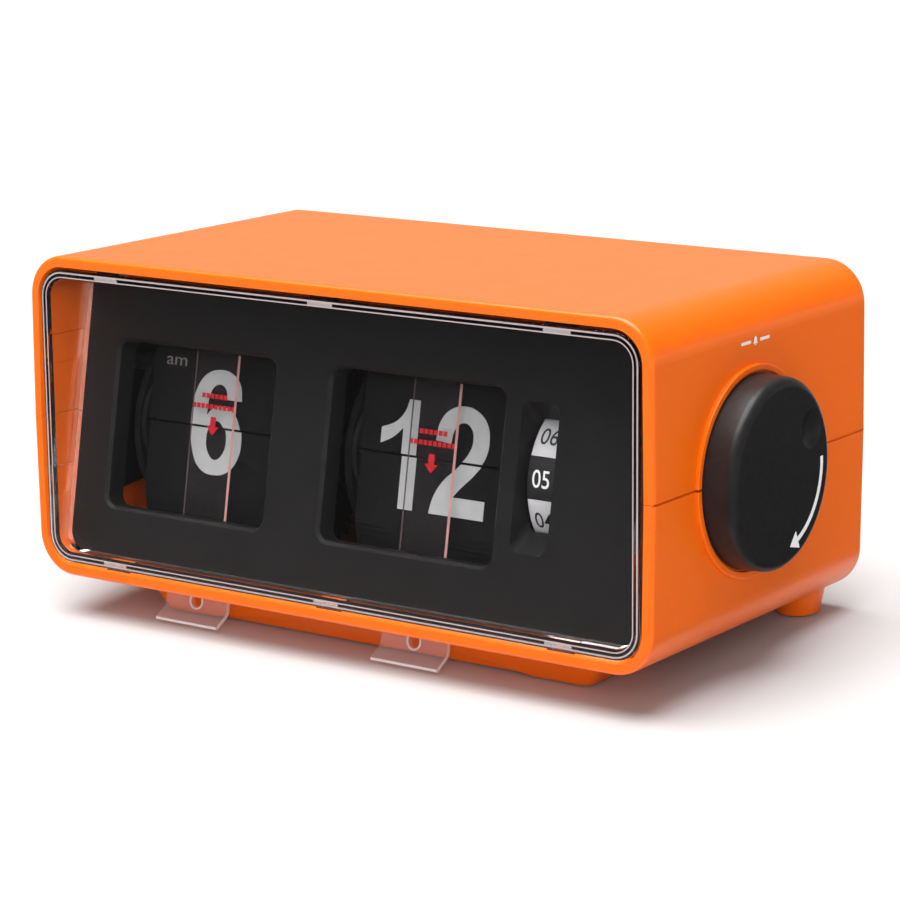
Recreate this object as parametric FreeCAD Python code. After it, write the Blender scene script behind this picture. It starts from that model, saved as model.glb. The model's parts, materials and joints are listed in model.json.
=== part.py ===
import FreeCAD, Part
import math
import os
from FreeCAD import Placement, Rotation, Vector

# Flip number clock: an orange two-piece plastic case with a sloping black dial,
# hour and minute drums of hinged leaves, an alarm drum and a knob on each side.
# Lengths are in millimetres.
#
# Case frame: X to the right seen from the front, Y backwards from the front rim,
# Z upwards from the underside of the case. Dial frame: the same X, Y at right
# angles into the dial, Z up along the dial face. The finished clock leans back
# on its feet and stands on Z = 0.

# ---- case ----
CASE_W = 180.0
CASE_H = 80.0
CASE_D = 97.0
SIDE_DRAFT = 0.5           # the sides come in by this much at the top and the bottom
CORNER_R = 10.3
WALL = 2.6
RIM_ROUND = 1.1
REAR_ROUND = 2.5
SEAM_Z = 39.5
SEAM_GAP = 0.12
GROOVE_DEEP = 0.35
GROOVE_WIDE = 0.6
TONGUE_Y = (62.5, 90.0)    # run of the locating tongues at the seam
TONGUE_ABOVE = 1.8
TONGUE_BELOW = 3.5
CASE_POST_R = 3.2
BOARD_POST_R = 2.2
FOOT_POST_R = 2.8

# ---- stand ----
LEAN_DEG = 3.2
FRONT_EDGE_Y = 16.3        # front bottom edge of the pedestal
FRONT_EDGE_Z = -9.8
PEDESTAL_TOP = (69.0, 13.7, 36.0)      # half width, front, back at the case
PEDESTAL_FOOT = (62.9, 16.3, 33.0)     # the same at the bottom
PEDESTAL_ROUND = 3.0
PEDESTAL_HOLLOW = (57.0, 3.2, 2.4, 3.6)  # half width, front wall, back wall, floor
ARCH_R = 260.0
ARCH_HALF_W = 48.0
ARCH_TOP_Z = -5.0
ARCH_DEEP = 3.6            # from the front of the pedestal's top
REAR_FOOT = (77.0, 87.5)
REAR_FOOT_R = (6.5, 4.6)
REAR_FOOT_LONG = 10.0
PAD_PROUD = 0.5
LONG_PAD_X = (36.0, 54.0)
LONG_PAD_Y = (20.5, 28.5)
LONG_PAD_ROUND = 2.5
BBOX_MIDDLE_Y = 50.619      # middle of the leaning clock, behind the foot of the rim

# ---- dial ----
DIAL_FOOT_Y = 5.13
DIAL_TILT_DEG = 10.44
DIAL_THICK = 2.0
DIAL_HALF_W = 86.3
DIAL_V = (3.3, 78.0)
DIAL_CORNER_R = 6.8
HOUR_WINDOW = (-73.9, -25.1, 17.6, 58.7)
MINUTE_WINDOW = (-7.9, 41.3, 17.6, 58.7)
ALARM_WINDOW = (46.3, 56.5, 21.6, 56.9)
ALARM_THROAT = (47.0, 55.8, 26.9, 52.6)
ALARM_WINDOW_R = 2.2
WINDOW_R = 2.8
WINDOW_BEVEL = 0.8
TUNNEL_DEEP = 6.1
TUNNEL_WALL = 1.2

# ---- clear front ----
LENS_HALF_W = 86.4
LENS_Z = (3.3, 76.7)
LENS_FRONT_Y = 0.2
LENS_THICK = 1.9
SKIRT_THICK = 2.4
LENS_CORNER_R = 7.0
LENS_INNER_R = 4.6
LENS_ROUND = 0.5
LENS_BACK_Y = 30.0         # before the skirt is cut along the dial
LENS_PAD_X = (-65.0, 0.0, 65.0)
LENS_PAD_Z = (SEAM_Z - 16.5, SEAM_Z + 16.5)
LENS_PAD_LONG = 7.2
LENS_PAD_PROUD = 0.5
LENS_PAD_FRONT_Y = 1.2

# ---- drums and leaves (dial frame) ----
AXIS_W = 21.9              # drum axis behind the dial face
AXIS_V = 39.8
PIN_CIRCLE_R = 12.2
PIN_R = 0.25
LEAF_THICK = 0.3
LEAF_H = 17.3
LEAF_TAIL = 0.3            # leaf beyond its pins
HOUR_LEAF_X = (-70.4, -27.0)
MINUTE_LEAF_X = (-4.8, 39.0)
HOUR_LEAVES = 48
MINUTE_LEAVES = 60
STACK_PITCH = 0.42
PACK_FROM_DEG = 4.0        # first and last leaf round the drum, down from its front
PACK_SWEEP_DEG = 352.7
PACK_START = 0.45          # depth of the pack behind the front upper leaf, below and above
PACK_END = 0.12
FAN_FROM_DEG = 75.0        # the leaves swing from hanging to upright over this stretch
FAN_OVER_DEG = 210.0
UPPER_LEAF_LIFT = 0.35     # pins of the front upper leaf above the axis
SPRING_HALF_W = 4.0
SPRING_THICK = 0.3
SPRING_W = 9.2             # back of the catch spring's finger
SPRING_V = (57.6, 66.3)
DISC_R = 13.6
DISC_THICK = 1.2
GROOVE_R = (10.8, 12.8)
GROOVE_CUT = 0.7
HUB_R = 9.0
HUB_WALL = 1.4
BOSS_R = 3.0
SHAFT_R = 1.5
SHAFT_LEFT_X = -80.6
CLIP_R = 2.8
CLIP_THICK = 0.6
CLIP_MOUTH = 0.9
CLIP_AT_X = (-77.4, -21.6, -11.6)
RUNNING = 0.06             # radial clearance of everything that turns on a shaft

# ---- alarm drum and knobs ----
ALARM_DRUM_X = (47.6, 58.4)
ALARM_DRUM_R = 19.2
ALARM_RIM = 1.6
ALARM_WEB_X = (48.2, 49.6)
ALARM_BOSS_R = 3.2
ALARM_BOSS_X = (ALARM_DRUM_X[0], 62.0)
ALARM_CAM_X = (60.9, 61.9)
ALARM_CAM_R = 5.6
CAM_NOTCH_DEEP = 1.0
SPINDLE_CENTRES = 9.0      # knob spindle to drum axis
SPINDLE_ANGLE = 28.0
SPINDLE_R = 2.0
SPINDLE_TAIL_R = 1.0
SPINDLE_HOLE_R = 3.0       # in the sides of the case
SPINDLE_END_X = 94.9
KNOB_BASE_X = 90.4
KNOB_FACE_X = 98.2
KNOB_R = 22.4
KNOB_WALL = 2.0
KNOB_HUB_R = 5.0
KNOB_WEB = 2.4
KNOB_DRAFT = 0.4
KNOB_ROUND = 2.3
RING_R = (22.9, 24.5)
RING_PROUD = 0.8
RING_ROUND = 0.3
RING_ROOT = 1.2            # ring carried into the wall
DIMPLE_AT = (15.2, 34.0)   # radius and angle of the finger dimple on the alarm knob
DIMPLE_BALL_R = 9.0
DIMPLE_DEEP = 1.2
DIMPLE_ROUND = 1.0

# ---- gear train ----
SET_MODULE = 0.5
SET_PINION = 12
SET_GEAR = 24
DRIVE_MODULE = 0.5
DRIVE_GEAR = 60
IDLER_GEAR = 40
MOTOR_PINION = 10
FIRST_MODULE = 0.56
FIRST_PINION = 10
FIRST_GEAR = 40
SECOND_MODULE = 0.4
SECOND_PINION = 10
SECOND_GEAR = 60
PRESSURE_DEG = 25.0
ADDENDUM = 0.8
DEDENDUM = 1.05
BACKLASH = 0.24            # share of the tooth thickness left free
DRIVE_ANGLE = -10.0        # direction of the idler and the motor from the drum axis
TIME_SET_GEAR_X = (-79.5, -78.1)
TIME_PINION_X = (-80.1, -77.7)
TIME_TAIL_X = (-80.1, -73.8)
HOUR_BOSS_X = (-73.05, -22.2)
HOUR_GEAR_X = (-24.6, -23.6)
SMALL_TRANSFER_X = (-24.8, -23.4)
LARGE_TRANSFER_X = (-14.3, -13.3)
SLEEVE_X = (-24.8, -11.2)
SLEEVE_R = 1.4
MINUTE_PINION_X = (-14.9, -12.7)
TRANSFER_AXLE_R = 0.8
TRANSFER_AXLE_X = -25.2    # free end
IDLER_AXLE_R = 1.0
IDLER_AXLE_X = 40.7        # free end
COLLAR_R = 1.8
DRIVE_GEAR_X = (41.0, 42.2)
MOTOR_PINION_X = (40.9, 42.3)
MOTOR_SHAFT_R = 0.9
MOTOR_SHAFT_END_X = 50.0
MOTOR_R = 12.0
MOTOR_END_X = 55.0
MOTOR_EAR = (1.2, 4.0, 16.0)   # thickness, half width, reach
ALARM_GEAR_X = (59.0, 60.4)
ALARM_PINION_X = (58.8, 60.9)

# ---- frame plates ----
PLATE_R = 25.7
PLATE_MIDDLE_W = 35.2
LEFT_PLATE_X = (-75.2, -73.4)
CENTRE_PLATE_X = (-9.2, -7.4)
RIGHT_PLATE_X = (43.0, 44.8)
END_PLATE_X = (66.0, 67.8)
BRACKET_X = (-86.6, -85.1)
MAIN_BEARING_END_X = 47.0  # boss of the right plate
END_BEARING_X = 73.0       # boss of the end plate
BRACKET_CORNERS = ((24.0, 16.2), (60.0, 20.4), (60.0, 60.0), (24.0, 60.0))
BRACKET_PILLARS = ((52.0, 26.0), (28.5, 50.0), (54.0, 54.0))
PILLAR_R = 2.2
TIE_BARS = ((48.0, 22.0), (50.0, 56.0))
TIE_BAR_R = 1.5
PLATE_FOOT_Y = (44.0, 58.0)
PLATE_FOOT_Z = (4.6, 6.2)
PLATE_FOOT_LONG = 8.5
FOOT_SCREW_Y = (47.5, 54.5)

# ---- transit strips ----
STRIP_W = 7.6
STRIP_THICK = 0.25
HOUR_STRIP_X = (-55.3, -41.6)
MINUTE_STRIP_X = (10.7, 24.4)
STRIP_TOP_V = 58.2
STRIP_FOOT_V = -1.2
TAB_MARGIN = 2.7
TAB_THICK = 1.0
TAB_BEND_V = -5.2
TAB_LIP = (3.4, 3.0)       # forwards and down from the bend
TAB_ROUND = (1.6, 2.6)     # inside and outside of the bend
TAB_EYE_R = 1.5
TAB_EYE_DOWN = 2.1
STRIP_SLOT = (0.8, 0.6)    # room beside and before the film in the case floor

# ---- battery, switch, buzzer, board ----
CELL_R = 13.1
CELL_LONG = 46.0
CELL_AT = (79.4, 17.3)
CELL_NUB = (3.6, 2.0)      # radius and height
TRAY_X = 30.6
TRAY_Y = (64.9, 94.1)
TRAY_Z = (2.9, 32.2)
TRAY_WALL = 1.2
DOOR_HALF_W = 28.6
DOOR_Z = (5.6, 30.6)
DOOR_THICK = 2.0
DOOR_AXIS_Y = 95.7
DOOR_PIN_R = 0.8
DOOR_PIN_LONG = 1.6
DOOR_NOTCH = (7.0, 0.8, 5.5, 2.0)  # half width, depth, lower and upper edge below the top
SPRING_TURNS = 4
SPRING_R = 7.0
SPRING_TAPER = 1.1
SPRING_WIRE_R = 0.45
CONTACT_HALF = 8.0
CONTACT_THICK = 0.5
GAP = 0.35
SWITCH_X = 58.0
SWITCH_Z = 58.0
SWITCH_TRAVEL = 6.0
SWITCH_POCKET = (9.0, 4.0, 1.5)    # half width, half height, depth
STEM = (5.4, 1.7)          # width and half height of the button
STEM_RIBS = 3
STEM_RIB_PITCH = 1.4
BUZZER_AT = (-55.0, 56.0)
BUZZER_R = 12.0
BUZZER_LONG = 8.0
COLLAR_WALL = 1.6
COLLAR_LONG = 5.5
SOUND_SLOTS = 2            # each side of the middle one
SOUND_SLOT_PITCH = 3.4
SOUND_SLOT_HALF = 7.5
SOUND_SLOT_TAPER = 1.2
SOUND_SLOT_HIGH = 1.5
BOARD_X = (-71.0, -36.0)
BOARD_Y = (66.5, 91.5)
BOARD_Z = (8.0, 9.6)
BOARD_POST_IN = 3.0
CHIP_X = (-60.0, -50.0)
CHIP_Y = (74.0, 80.0)
CHIP_HIGH = 2.2
CHIP_LEGS = 7
CHIP_LEG_PITCH = 1.4
CRYSTAL_R = 1.5
CAPACITORS = ((-43.0, 73.0), (-43.0, 82.0))
CAPACITOR_SIZE = (3.0, 9.0)
SCREW_R = 1.25
SCREW_HEAD_R = 2.6
SCREW_HEAD_Z = (1.0, 2.9)
SCREW_DEEP = 9.0           # thread above the seam
FOOT_HEAD = (2.3, 1.5)     # radius and height of a frame screw's head
DRIVER_SLOT = 0.8
CASE_SCREWS = ((-80.0, 66.0), (80.0, 28.0), (-77.0, 87.5), (77.0, 87.5))

FAR = 400.0
OVER = 1.0                 # reach of a cut past what it goes through
ANYWHERE = (-FAR / 4, FAR / 4)
X_AXIS = Vector(1, 0, 0)
Y_AXIS = Vector(0, 1, 0)

LEAN = math.radians(LEAN_DEG)
DIAL = Placement(Vector(0, DIAL_FOOT_Y, 0), Rotation(X_AXIS, -DIAL_TILT_DEG))
LIFT = (FRONT_EDGE_Y * math.tan(LEAN) - FRONT_EDGE_Z) * math.cos(LEAN)
STAND = Placement(Vector(0, -BBOX_MIDDLE_Y, LIFT), Rotation(X_AXIS, -LEAN_DEG))


# ---- small helpers ----

def block(x, y, z):
    """Box between pairs of limits."""
    size = (x[1] - x[0], y[1] - y[0], z[1] - z[0])
    return Part.makeBox(size[0], size[1], size[2], Vector(x[0], y[0], z[0]))


def rod(radius, x, centre):
    """Cylinder along X between two stations, centred on (y, z)."""
    return Part.makeCylinder(radius, x[1] - x[0], Vector(x[0], centre[0], centre[1]), X_AXIS)


def bored(shape, radius, x, centre):
    """Shape with a bore along X, centred on (y, z), right through two stations."""
    return shape.cut(rod(radius, (x[0] - OVER, x[1] + OVER), centre))


def tube(outer, inner, x, centre):
    """Rod with a bore."""
    return bored(rod(outer, x, centre), inner, x, centre)


def post(radius, centre, z):
    """Upright cylinder centred on (x, y)."""
    return Part.makeCylinder(radius, z[1] - z[0], Vector(centre[0], centre[1], z[0]))


def pin_back(radius, spot, length):
    """Cylinder that runs backwards from a spot."""
    return Part.makeCylinder(radius, length, spot, Y_AXIS)


def prism(points, direction):
    """Solid swept from a closed outline of straight edges."""
    corners = [Vector(*point) for point in points]
    return Part.Face(Part.makePolygon(corners + corners[:1])).extrude(Vector(*direction))


def along(shape, axis):
    """Straight edges of a shape that run along an axis (0, 1 or 2)."""
    found = []
    for edge in shape.Edges:
        if not isinstance(edge.Curve, Part.Line):
            continue
        run = edge.Vertexes[-1].Point - edge.Vertexes[0].Point
        if abs(run[axis]) > 0.999 * run.Length:
            found.append(edge)
    return found


def at_level(shape, axis, level):
    """Edges that lie wholly at one level of an axis."""
    def flat(edge):
        box = edge.BoundBox
        low = (box.XMin, box.YMin, box.ZMin)[axis]
        high = (box.XMax, box.YMax, box.ZMax)[axis]
        return abs(low - level) < 0.01 and abs(high - level) < 0.01
    return [edge for edge in shape.Edges if flat(edge)]


def rounded_block(x, y, z, radius, axis=1):
    """Box with its four edges along one axis rounded."""
    solid = block(x, y, z)
    return solid.makeFillet(radius, along(solid, axis))


def in_case(shape):
    """Moves a shape from the dial frame to the case frame."""
    moved = shape.copy()
    moved.Placement = DIAL.multiply(moved.Placement)
    return moved


def to_case(w, v):
    """Case frame (y, z) of a point of the dial frame."""
    spot = DIAL.multVec(Vector(0, w, v))
    return (spot.y, spot.z)


def polar(centre, radius, angle):
    """Point at a distance and an angle in degrees from Y towards Z."""
    turn = math.radians(angle)
    return (centre[0] + radius * math.cos(turn), centre[1] + radius * math.sin(turn))


def below(height):
    """Everything under a height above the table, in the case frame."""
    slab = Part.makeBox(FAR, FAR, FAR, Vector(-FAR / 2, -FAR / 2, height - FAR))
    slab.Placement = STAND.inverse()
    return slab


def fused(shapes):
    """Union of several shapes with the seams between them removed."""
    return shapes[0].multiFuse(shapes[1:]).removeSplitter()


def save(name, shape):
    """Stands the shape on its feet and writes its file."""
    placed = shape.copy()
    placed.Placement = STAND.multiply(placed.Placement)
    placed.exportStep("parts/" + name + ".step")


DRUM = to_case(AXIS_W, AXIS_V)
SPINDLE = polar(DRUM, SPINDLE_CENTRES, SPINDLE_ANGLE)
IDLER_CENTRES = DRIVE_MODULE * (DRIVE_GEAR + IDLER_GEAR) / 2
MOTOR_CENTRES = DRIVE_MODULE * (IDLER_GEAR + MOTOR_PINION) / 2
IDLER = polar(DRUM, IDLER_CENTRES, DRIVE_ANGLE)
MOTOR = polar(IDLER, MOTOR_CENTRES, DRIVE_ANGLE)
TRANSFER = polar(DRUM, FIRST_MODULE * (FIRST_PINION + FIRST_GEAR) / 2, 0)


# ---- case ----

def case_section(inset, y):
    """Outline of the case moved inwards, swept between two depths, corners rounded."""
    half = CASE_W / 2 - inset
    top = half - SIDE_DRAFT
    corners = [
        (-top, y[0], inset),
        (top, y[0], inset),
        (half, y[0], SEAM_Z),
        (top, y[0], CASE_H - inset),
        (-top, y[0], CASE_H - inset),
        (-half, y[0], SEAM_Z),
    ]
    solid = prism(corners, (0, y[1] - y[0], 0))
    round_edges = [e for e in along(solid, 1) if abs(e.Vertexes[0].Z - SEAM_Z) > 1]
    return solid.makeFillet(CORNER_R - inset, round_edges)


def knob_ring(side):
    """Raised ring on the case around a knob."""
    crest = side * (CASE_W / 2 + RING_PROUD)
    x = sorted((side * (CASE_W / 2 - RING_ROOT), crest))
    ring = tube(RING_R[1], RING_R[0], x, SPINDLE)
    return ring.makeFillet(RING_ROUND, at_level(ring, 0, crest))


def case_body():
    """Both halves of the case in one piece, with knob rings and spindle holes."""
    outer = case_section(0, (0, CASE_D))
    outer = outer.makeFillet(REAR_ROUND, at_level(outer, 1, CASE_D))
    outer = outer.makeFillet(RIM_ROUND, at_level(outer, 1, 0))
    body = outer.cut(case_section(WALL, (-OVER, CASE_D - WALL)))
    body = body.fuse(knob_ring(1)).fuse(knob_ring(-1))
    body = body.cut(rod(SPINDLE_HOLE_R, ANYWHERE, SPINDLE))
    seam = (SEAM_Z - GROOVE_WIDE / 2, SEAM_Z + GROOVE_WIDE / 2)
    groove = block(ANYWHERE, (-OVER, CASE_D + OVER), seam)
    groove = groove.cut(case_section(GROOVE_DEEP, (-2 * OVER, CASE_D - GROOVE_DEEP)))
    return body.cut(groove)


def sound_slots():
    """Slots in the back wall in front of the buzzer, shorter away from the middle."""
    slots = []
    for step in range(-SOUND_SLOTS, SOUND_SLOTS + 1):
        z = BUZZER_AT[1] + SOUND_SLOT_PITCH * step
        half = SOUND_SLOT_HALF - abs(step) * SOUND_SLOT_TAPER
        slots.append(rounded_block((BUZZER_AT[0] - half, BUZZER_AT[0] + half),
                                   (CASE_D - WALL - OVER, CASE_D + OVER),
                                   (z - SOUND_SLOT_HIGH / 2, z + SOUND_SLOT_HIGH / 2), 0.7))
    return slots


def switch_openings():
    """Shallow pocket in the back wall and the slot that the switch button moves in."""
    half_w, half_h, deep = SWITCH_POCKET
    pocket = rounded_block((SWITCH_X - half_w, SWITCH_X + half_w), (CASE_D - deep, CASE_D + OVER),
                           (SWITCH_Z - half_h, SWITCH_Z + half_h), 1.5)
    slot = block((SWITCH_X - SWITCH_TRAVEL, SWITCH_X + SWITCH_TRAVEL), (CASE_D - 2 * WALL, CASE_D),
                 (SWITCH_Z - half_h / 2, SWITCH_Z + half_h / 2))
    return [pocket, slot]


def upper_shell(body):
    """Top half of the case with its screw posts, buzzer slots and switch pocket."""
    low = SEAM_Z + SEAM_GAP / 2
    shell = body.common(block(ANYWHERE, ANYWHERE, (low, FAR)))
    posts = [post(CASE_POST_R, spot, (low, CASE_H - OVER)) for spot in CASE_SCREWS]
    spot = Vector(BUZZER_AT[0], CASE_D - WALL - COLLAR_LONG, BUZZER_AT[1])
    collar = pin_back(BUZZER_R + COLLAR_WALL, spot, COLLAR_LONG + 0.5)
    shell = fused([shell, collar] + posts)
    shell = shell.cut(pin_back(BUZZER_R + GAP, spot, COLLAR_LONG))
    holes = [post(SCREW_R, spot, (low - OVER, SEAM_Z + SCREW_DEEP + 3)) for spot in CASE_SCREWS]
    for cut in holes + sound_slots() + switch_openings():
        shell = shell.cut(cut)
    return shell


def pedestal():
    """Wide front foot with sloping ends and a shallow arch in its front face."""
    top, front, back = PEDESTAL_TOP
    foot, foot_front, foot_back = PEDESTAL_FOOT
    bottom = FRONT_EDGE_Z - 2
    over = 1 - (FRONT_EDGE_Z + PAD_PROUD) / bottom
    low_x = foot - (top - foot) * over
    low_front = foot_front + (foot_front - front) * over
    low_back = foot_back - (back - foot_back) * over
    wide = prism([(-top, 0, OVER), (-top, 0, 0), (-low_x, 0, bottom), (low_x, 0, bottom),
                  (top, 0, 0), (top, 0, OVER)], (0, CASE_D, 0))
    deep = prism([(-top, front, OVER), (-top, front, 0), (-top, low_front, bottom),
                  (-top, low_back, bottom), (-top, back, 0), (-top, back, OVER)], (2 * top, 0, 0))
    solid = wide.common(deep).cut(below(PAD_PROUD))
    slanted = []
    for edge in solid.Edges:
        ends = [vertex.Point for vertex in edge.Vertexes]
        if abs(ends[0].z - ends[1].z) > abs(FRONT_EDGE_Z) / 2:
            slanted.append(edge)
    solid = solid.makeFillet(PEDESTAL_ROUND, slanted)
    arch = pin_back(ARCH_R, Vector(0, 0, ARCH_TOP_Z - ARCH_R), CASE_D)
    arch = arch.common(block((-ARCH_HALF_W, ARCH_HALF_W), (0, front + ARCH_DEEP), (2 * bottom, 0)))
    return solid.cut(arch)


def seam_tongue(high):
    """Lip inside the lower half that stands up behind the wall of the upper half."""
    low = SEAM_Z - TONGUE_BELOW
    lip = case_section(WALL - 0.2, TONGUE_Y).common(block(ANYWHERE, ANYWHERE, (low, high)))
    tongue = case_section(WALL + 0.2, TONGUE_Y)
    tongue = tongue.common(block(ANYWHERE, ANYWHERE, (low, SEAM_Z + TONGUE_ABOVE)))
    return fused([lip, tongue]).cut(case_section(WALL + 1.2, (0, CASE_D)))


def lower_posts(high):
    """Posts on the case floor: for the case screws, the board and the frame feet."""
    posts = [post(CASE_POST_R, spot, (OVER, high)) for spot in CASE_SCREWS]
    for x in (BOARD_X[0] + BOARD_POST_IN, BOARD_X[1] - BOARD_POST_IN):
        for y in (BOARD_Y[0] + BOARD_POST_IN, BOARD_Y[1] - BOARD_POST_IN):
            posts.append(post(BOARD_POST_R, (x, y), (OVER, BOARD_Z[0])))
    for spot in foot_screws():
        posts.append(post(FOOT_POST_R, spot, (OVER, PLATE_FOOT_Z[0])))
    return posts


def lower_openings(high):
    """Screw holes, pedestal hollow, strip slots, door opening and hinge holes."""
    cuts = []
    for spot in CASE_SCREWS:
        cuts.append(post(SCREW_R + 0.3, spot, (2 * FRONT_EDGE_Z, high + OVER)))
        cuts.append(post(SCREW_HEAD_R + 0.3, spot, (2 * FRONT_EDGE_Z, SCREW_HEAD_Z[1] + 0.1)))
    for spot in foot_screws():
        cuts.append(post(SCREW_R, spot, (1.2, PLATE_FOOT_Z[0] + OVER)))
    half, front_wall, back_wall, floor = PEDESTAL_HOLLOW
    cuts.append(block((-half, half), (PEDESTAL_FOOT[1] + front_wall, PEDESTAL_FOOT[2] - back_wall),
                      (FRONT_EDGE_Z + floor, WALL + OVER)))
    beside, before = STRIP_SLOT
    for x in (HOUR_STRIP_X, MINUTE_STRIP_X):
        slot = block((x[0] - beside, x[1] + beside), (STRIP_W - before, STRIP_W + before), (-4, 7))
        cuts.append(in_case(slot))
    cuts.append(block((-DOOR_HALF_W - GAP, DOOR_HALF_W + GAP), (TRAY_Y[1] - OVER, CASE_D + OVER),
                      (DOOR_Z[0] - DOOR_THICK / 2 - 0.25, DOOR_Z[1] + GAP)))
    hinge_x = (-DOOR_HALF_W - 2, DOOR_HALF_W + 2)
    cuts.append(rod(DOOR_PIN_R + RUNNING, hinge_x, (DOOR_AXIS_Y, DOOR_Z[0])))
    return cuts


def lower_shell(body):
    """Bottom half of the case with pedestal, rear feet, posts, door and strip openings."""
    high = SEAM_Z - SEAM_GAP / 2
    parts = [body.common(block(ANYWHERE, ANYWHERE, (-OVER, high))), pedestal(), seam_tongue(high)]
    for side in (-1, 1):
        spot = Vector(side * REAR_FOOT[0], REAR_FOOT[1], OVER)
        cone = Part.makeCone(REAR_FOOT_R[0], REAR_FOOT_R[1], REAR_FOOT_LONG, spot, Vector(0, 0, -1))
        parts.append(cone.cut(below(PAD_PROUD)))
    shell = fused(parts + lower_posts(high))
    for cut in lower_openings(high):
        shell = shell.cut(cut)
    return shell


def lens_pads():
    """Low spacer pads round the skirt of the clear front."""
    pads = []
    half = LENS_PAD_LONG / 2
    y = (LENS_PAD_FRONT_Y, LENS_BACK_Y)
    for middle in LENS_PAD_X:
        along_x = (middle - half, middle + half)
        pads.append(block(along_x, y, (LENS_Z[1] - OVER, LENS_Z[1] + LENS_PAD_PROUD)))
        pads.append(block(along_x, y, (LENS_Z[0] - LENS_PAD_PROUD, LENS_Z[0] + OVER)))
    for middle in LENS_PAD_Z:
        for side in (-1, 1):
            edge = sorted((side * (LENS_HALF_W - OVER), side * (LENS_HALF_W + LENS_PAD_PROUD)))
            pads.append(block(edge, y, (middle - half, middle + half)))
    return pads


def front_lens():
    """Clear front: a flat plate with a deep skirt that runs back to the sloping dial."""
    x = (-LENS_HALF_W, LENS_HALF_W)
    solid = rounded_block(x, (LENS_FRONT_Y, LENS_BACK_Y), LENS_Z, LENS_CORNER_R)
    inner_x = (x[0] + SKIRT_THICK, x[1] - SKIRT_THICK)
    inner_y = (LENS_FRONT_Y + LENS_THICK, LENS_BACK_Y + OVER)
    inner_z = (LENS_Z[0] + SKIRT_THICK, LENS_Z[1] - SKIRT_THICK)
    solid = solid.cut(rounded_block(inner_x, inner_y, inner_z, LENS_INNER_R))
    solid = solid.makeFillet(LENS_ROUND, at_level(solid, 1, LENS_FRONT_Y))
    solid = fused([solid] + lens_pads())
    in_front = in_case(block(ANYWHERE, (-FAR / 4, -0.3), ANYWHERE))
    return solid.common(in_front)


def window_tunnel(window):
    """Walls behind a dial window, in the dial frame."""
    u = (window[0] - TUNNEL_WALL, window[1] + TUNNEL_WALL)
    v = (window[2] - TUNNEL_WALL, window[3] + TUNNEL_WALL)
    return rounded_block(u, (DIAL_THICK / 2, TUNNEL_DEEP), v, 4.0)


def window_hole(window):
    """Opening through the dial and its tunnel, with a bevelled front edge."""
    hole = rounded_block(window[:2], (0, TUNNEL_DEEP + OVER), window[2:], WINDOW_R)
    edge = WINDOW_BEVEL
    mouth = rounded_block((window[0] - edge, window[1] + edge), (-OVER, edge),
                          (window[2] - edge, window[3] + edge), WINDOW_R + edge)
    mouth = mouth.makeChamfer(edge - 0.01, at_level(mouth, 1, edge))
    return hole.fuse(mouth)


def funnel(mouth, throat):
    """Tapering opening between two rectangles, its corners rounded, in the dial frame."""
    rings = []
    for level, rect in ((-0.5, mouth), (TUNNEL_DEEP + 0.1, throat)):
        corners = [(rect[0], level, rect[2]), (rect[1], level, rect[2]),
                   (rect[1], level, rect[3]), (rect[0], level, rect[3])]
        points = [Vector(*corner) for corner in corners]
        rings.append(Part.makePolygon(points + points[:1]))
    solid = Part.makeLoft(rings, True, True)
    slanted = [edge for edge in solid.Edges if edge.BoundBox.YLength > TUNNEL_DEEP]
    return solid.makeFillet(ALARM_WINDOW_R, slanted)


def dial_panel():
    """Sloping dial with two number windows and the funnel of the alarm window."""
    solid = rounded_block((-DIAL_HALF_W, DIAL_HALF_W), (0, DIAL_THICK), DIAL_V, DIAL_CORNER_R)
    walls = [window_tunnel(HOUR_WINDOW), window_tunnel(MINUTE_WINDOW), window_tunnel(ALARM_WINDOW)]
    solid = fused([solid] + walls)
    solid = solid.cut(window_hole(HOUR_WINDOW)).cut(window_hole(MINUTE_WINDOW))
    drum_room = rod(ALARM_DRUM_R + 0.5, (ALARM_DRUM_X[0] - 0.5, ALARM_DRUM_X[1] + 0.5),
                    (AXIS_W, AXIS_V))
    solid = solid.cut(funnel(ALARM_WINDOW, ALARM_THROAT)).cut(drum_room)
    return in_case(solid)


def rubber_pads():
    """Two long pads under the pedestal and a round one under each rear foot."""
    pads = []
    under = (2 * FRONT_EDGE_Z, 0)
    for side in (-1, 1):
        x = sorted((side * LONG_PAD_X[0], side * LONG_PAD_X[1]))
        long_pad = rounded_block(x, LONG_PAD_Y, under, LONG_PAD_ROUND, axis=2)
        round_pad = post(REAR_FOOT_R[1] - 0.6, (side * REAR_FOOT[0], REAR_FOOT[1]), under)
        for pad in (long_pad, round_pad):
            pads.append(pad.common(below(PAD_PROUD)).cut(below(0)))
    return Part.makeCompound(pads)


def screw(spot, head, shank):
    """Screw with a driver slot in the outer face of its head; head is radius, foot and top."""
    radius, low, high = head
    solid = fused([post(radius, spot, (low, high)), post(SCREW_R, spot, shank)])
    outer = low if shank[1] > high else high
    slot = block((spot[0] - radius, spot[0] + radius),
                 (spot[1] - DRIVER_SLOT / 2, spot[1] + DRIVER_SLOT / 2),
                 (outer - DRIVER_SLOT, outer + DRIVER_SLOT))
    return solid.cut(slot)


def case_screws():
    """Screws that come up through the lower half into the posts of the upper half."""
    head = (SCREW_HEAD_R, *SCREW_HEAD_Z)
    shank = (SCREW_HEAD_Z[0] + 1.5, SEAM_Z + SCREW_DEEP)
    return Part.makeCompound([screw(spot, head, shank) for spot in CASE_SCREWS])


# ---- drums and leaves ----

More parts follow.
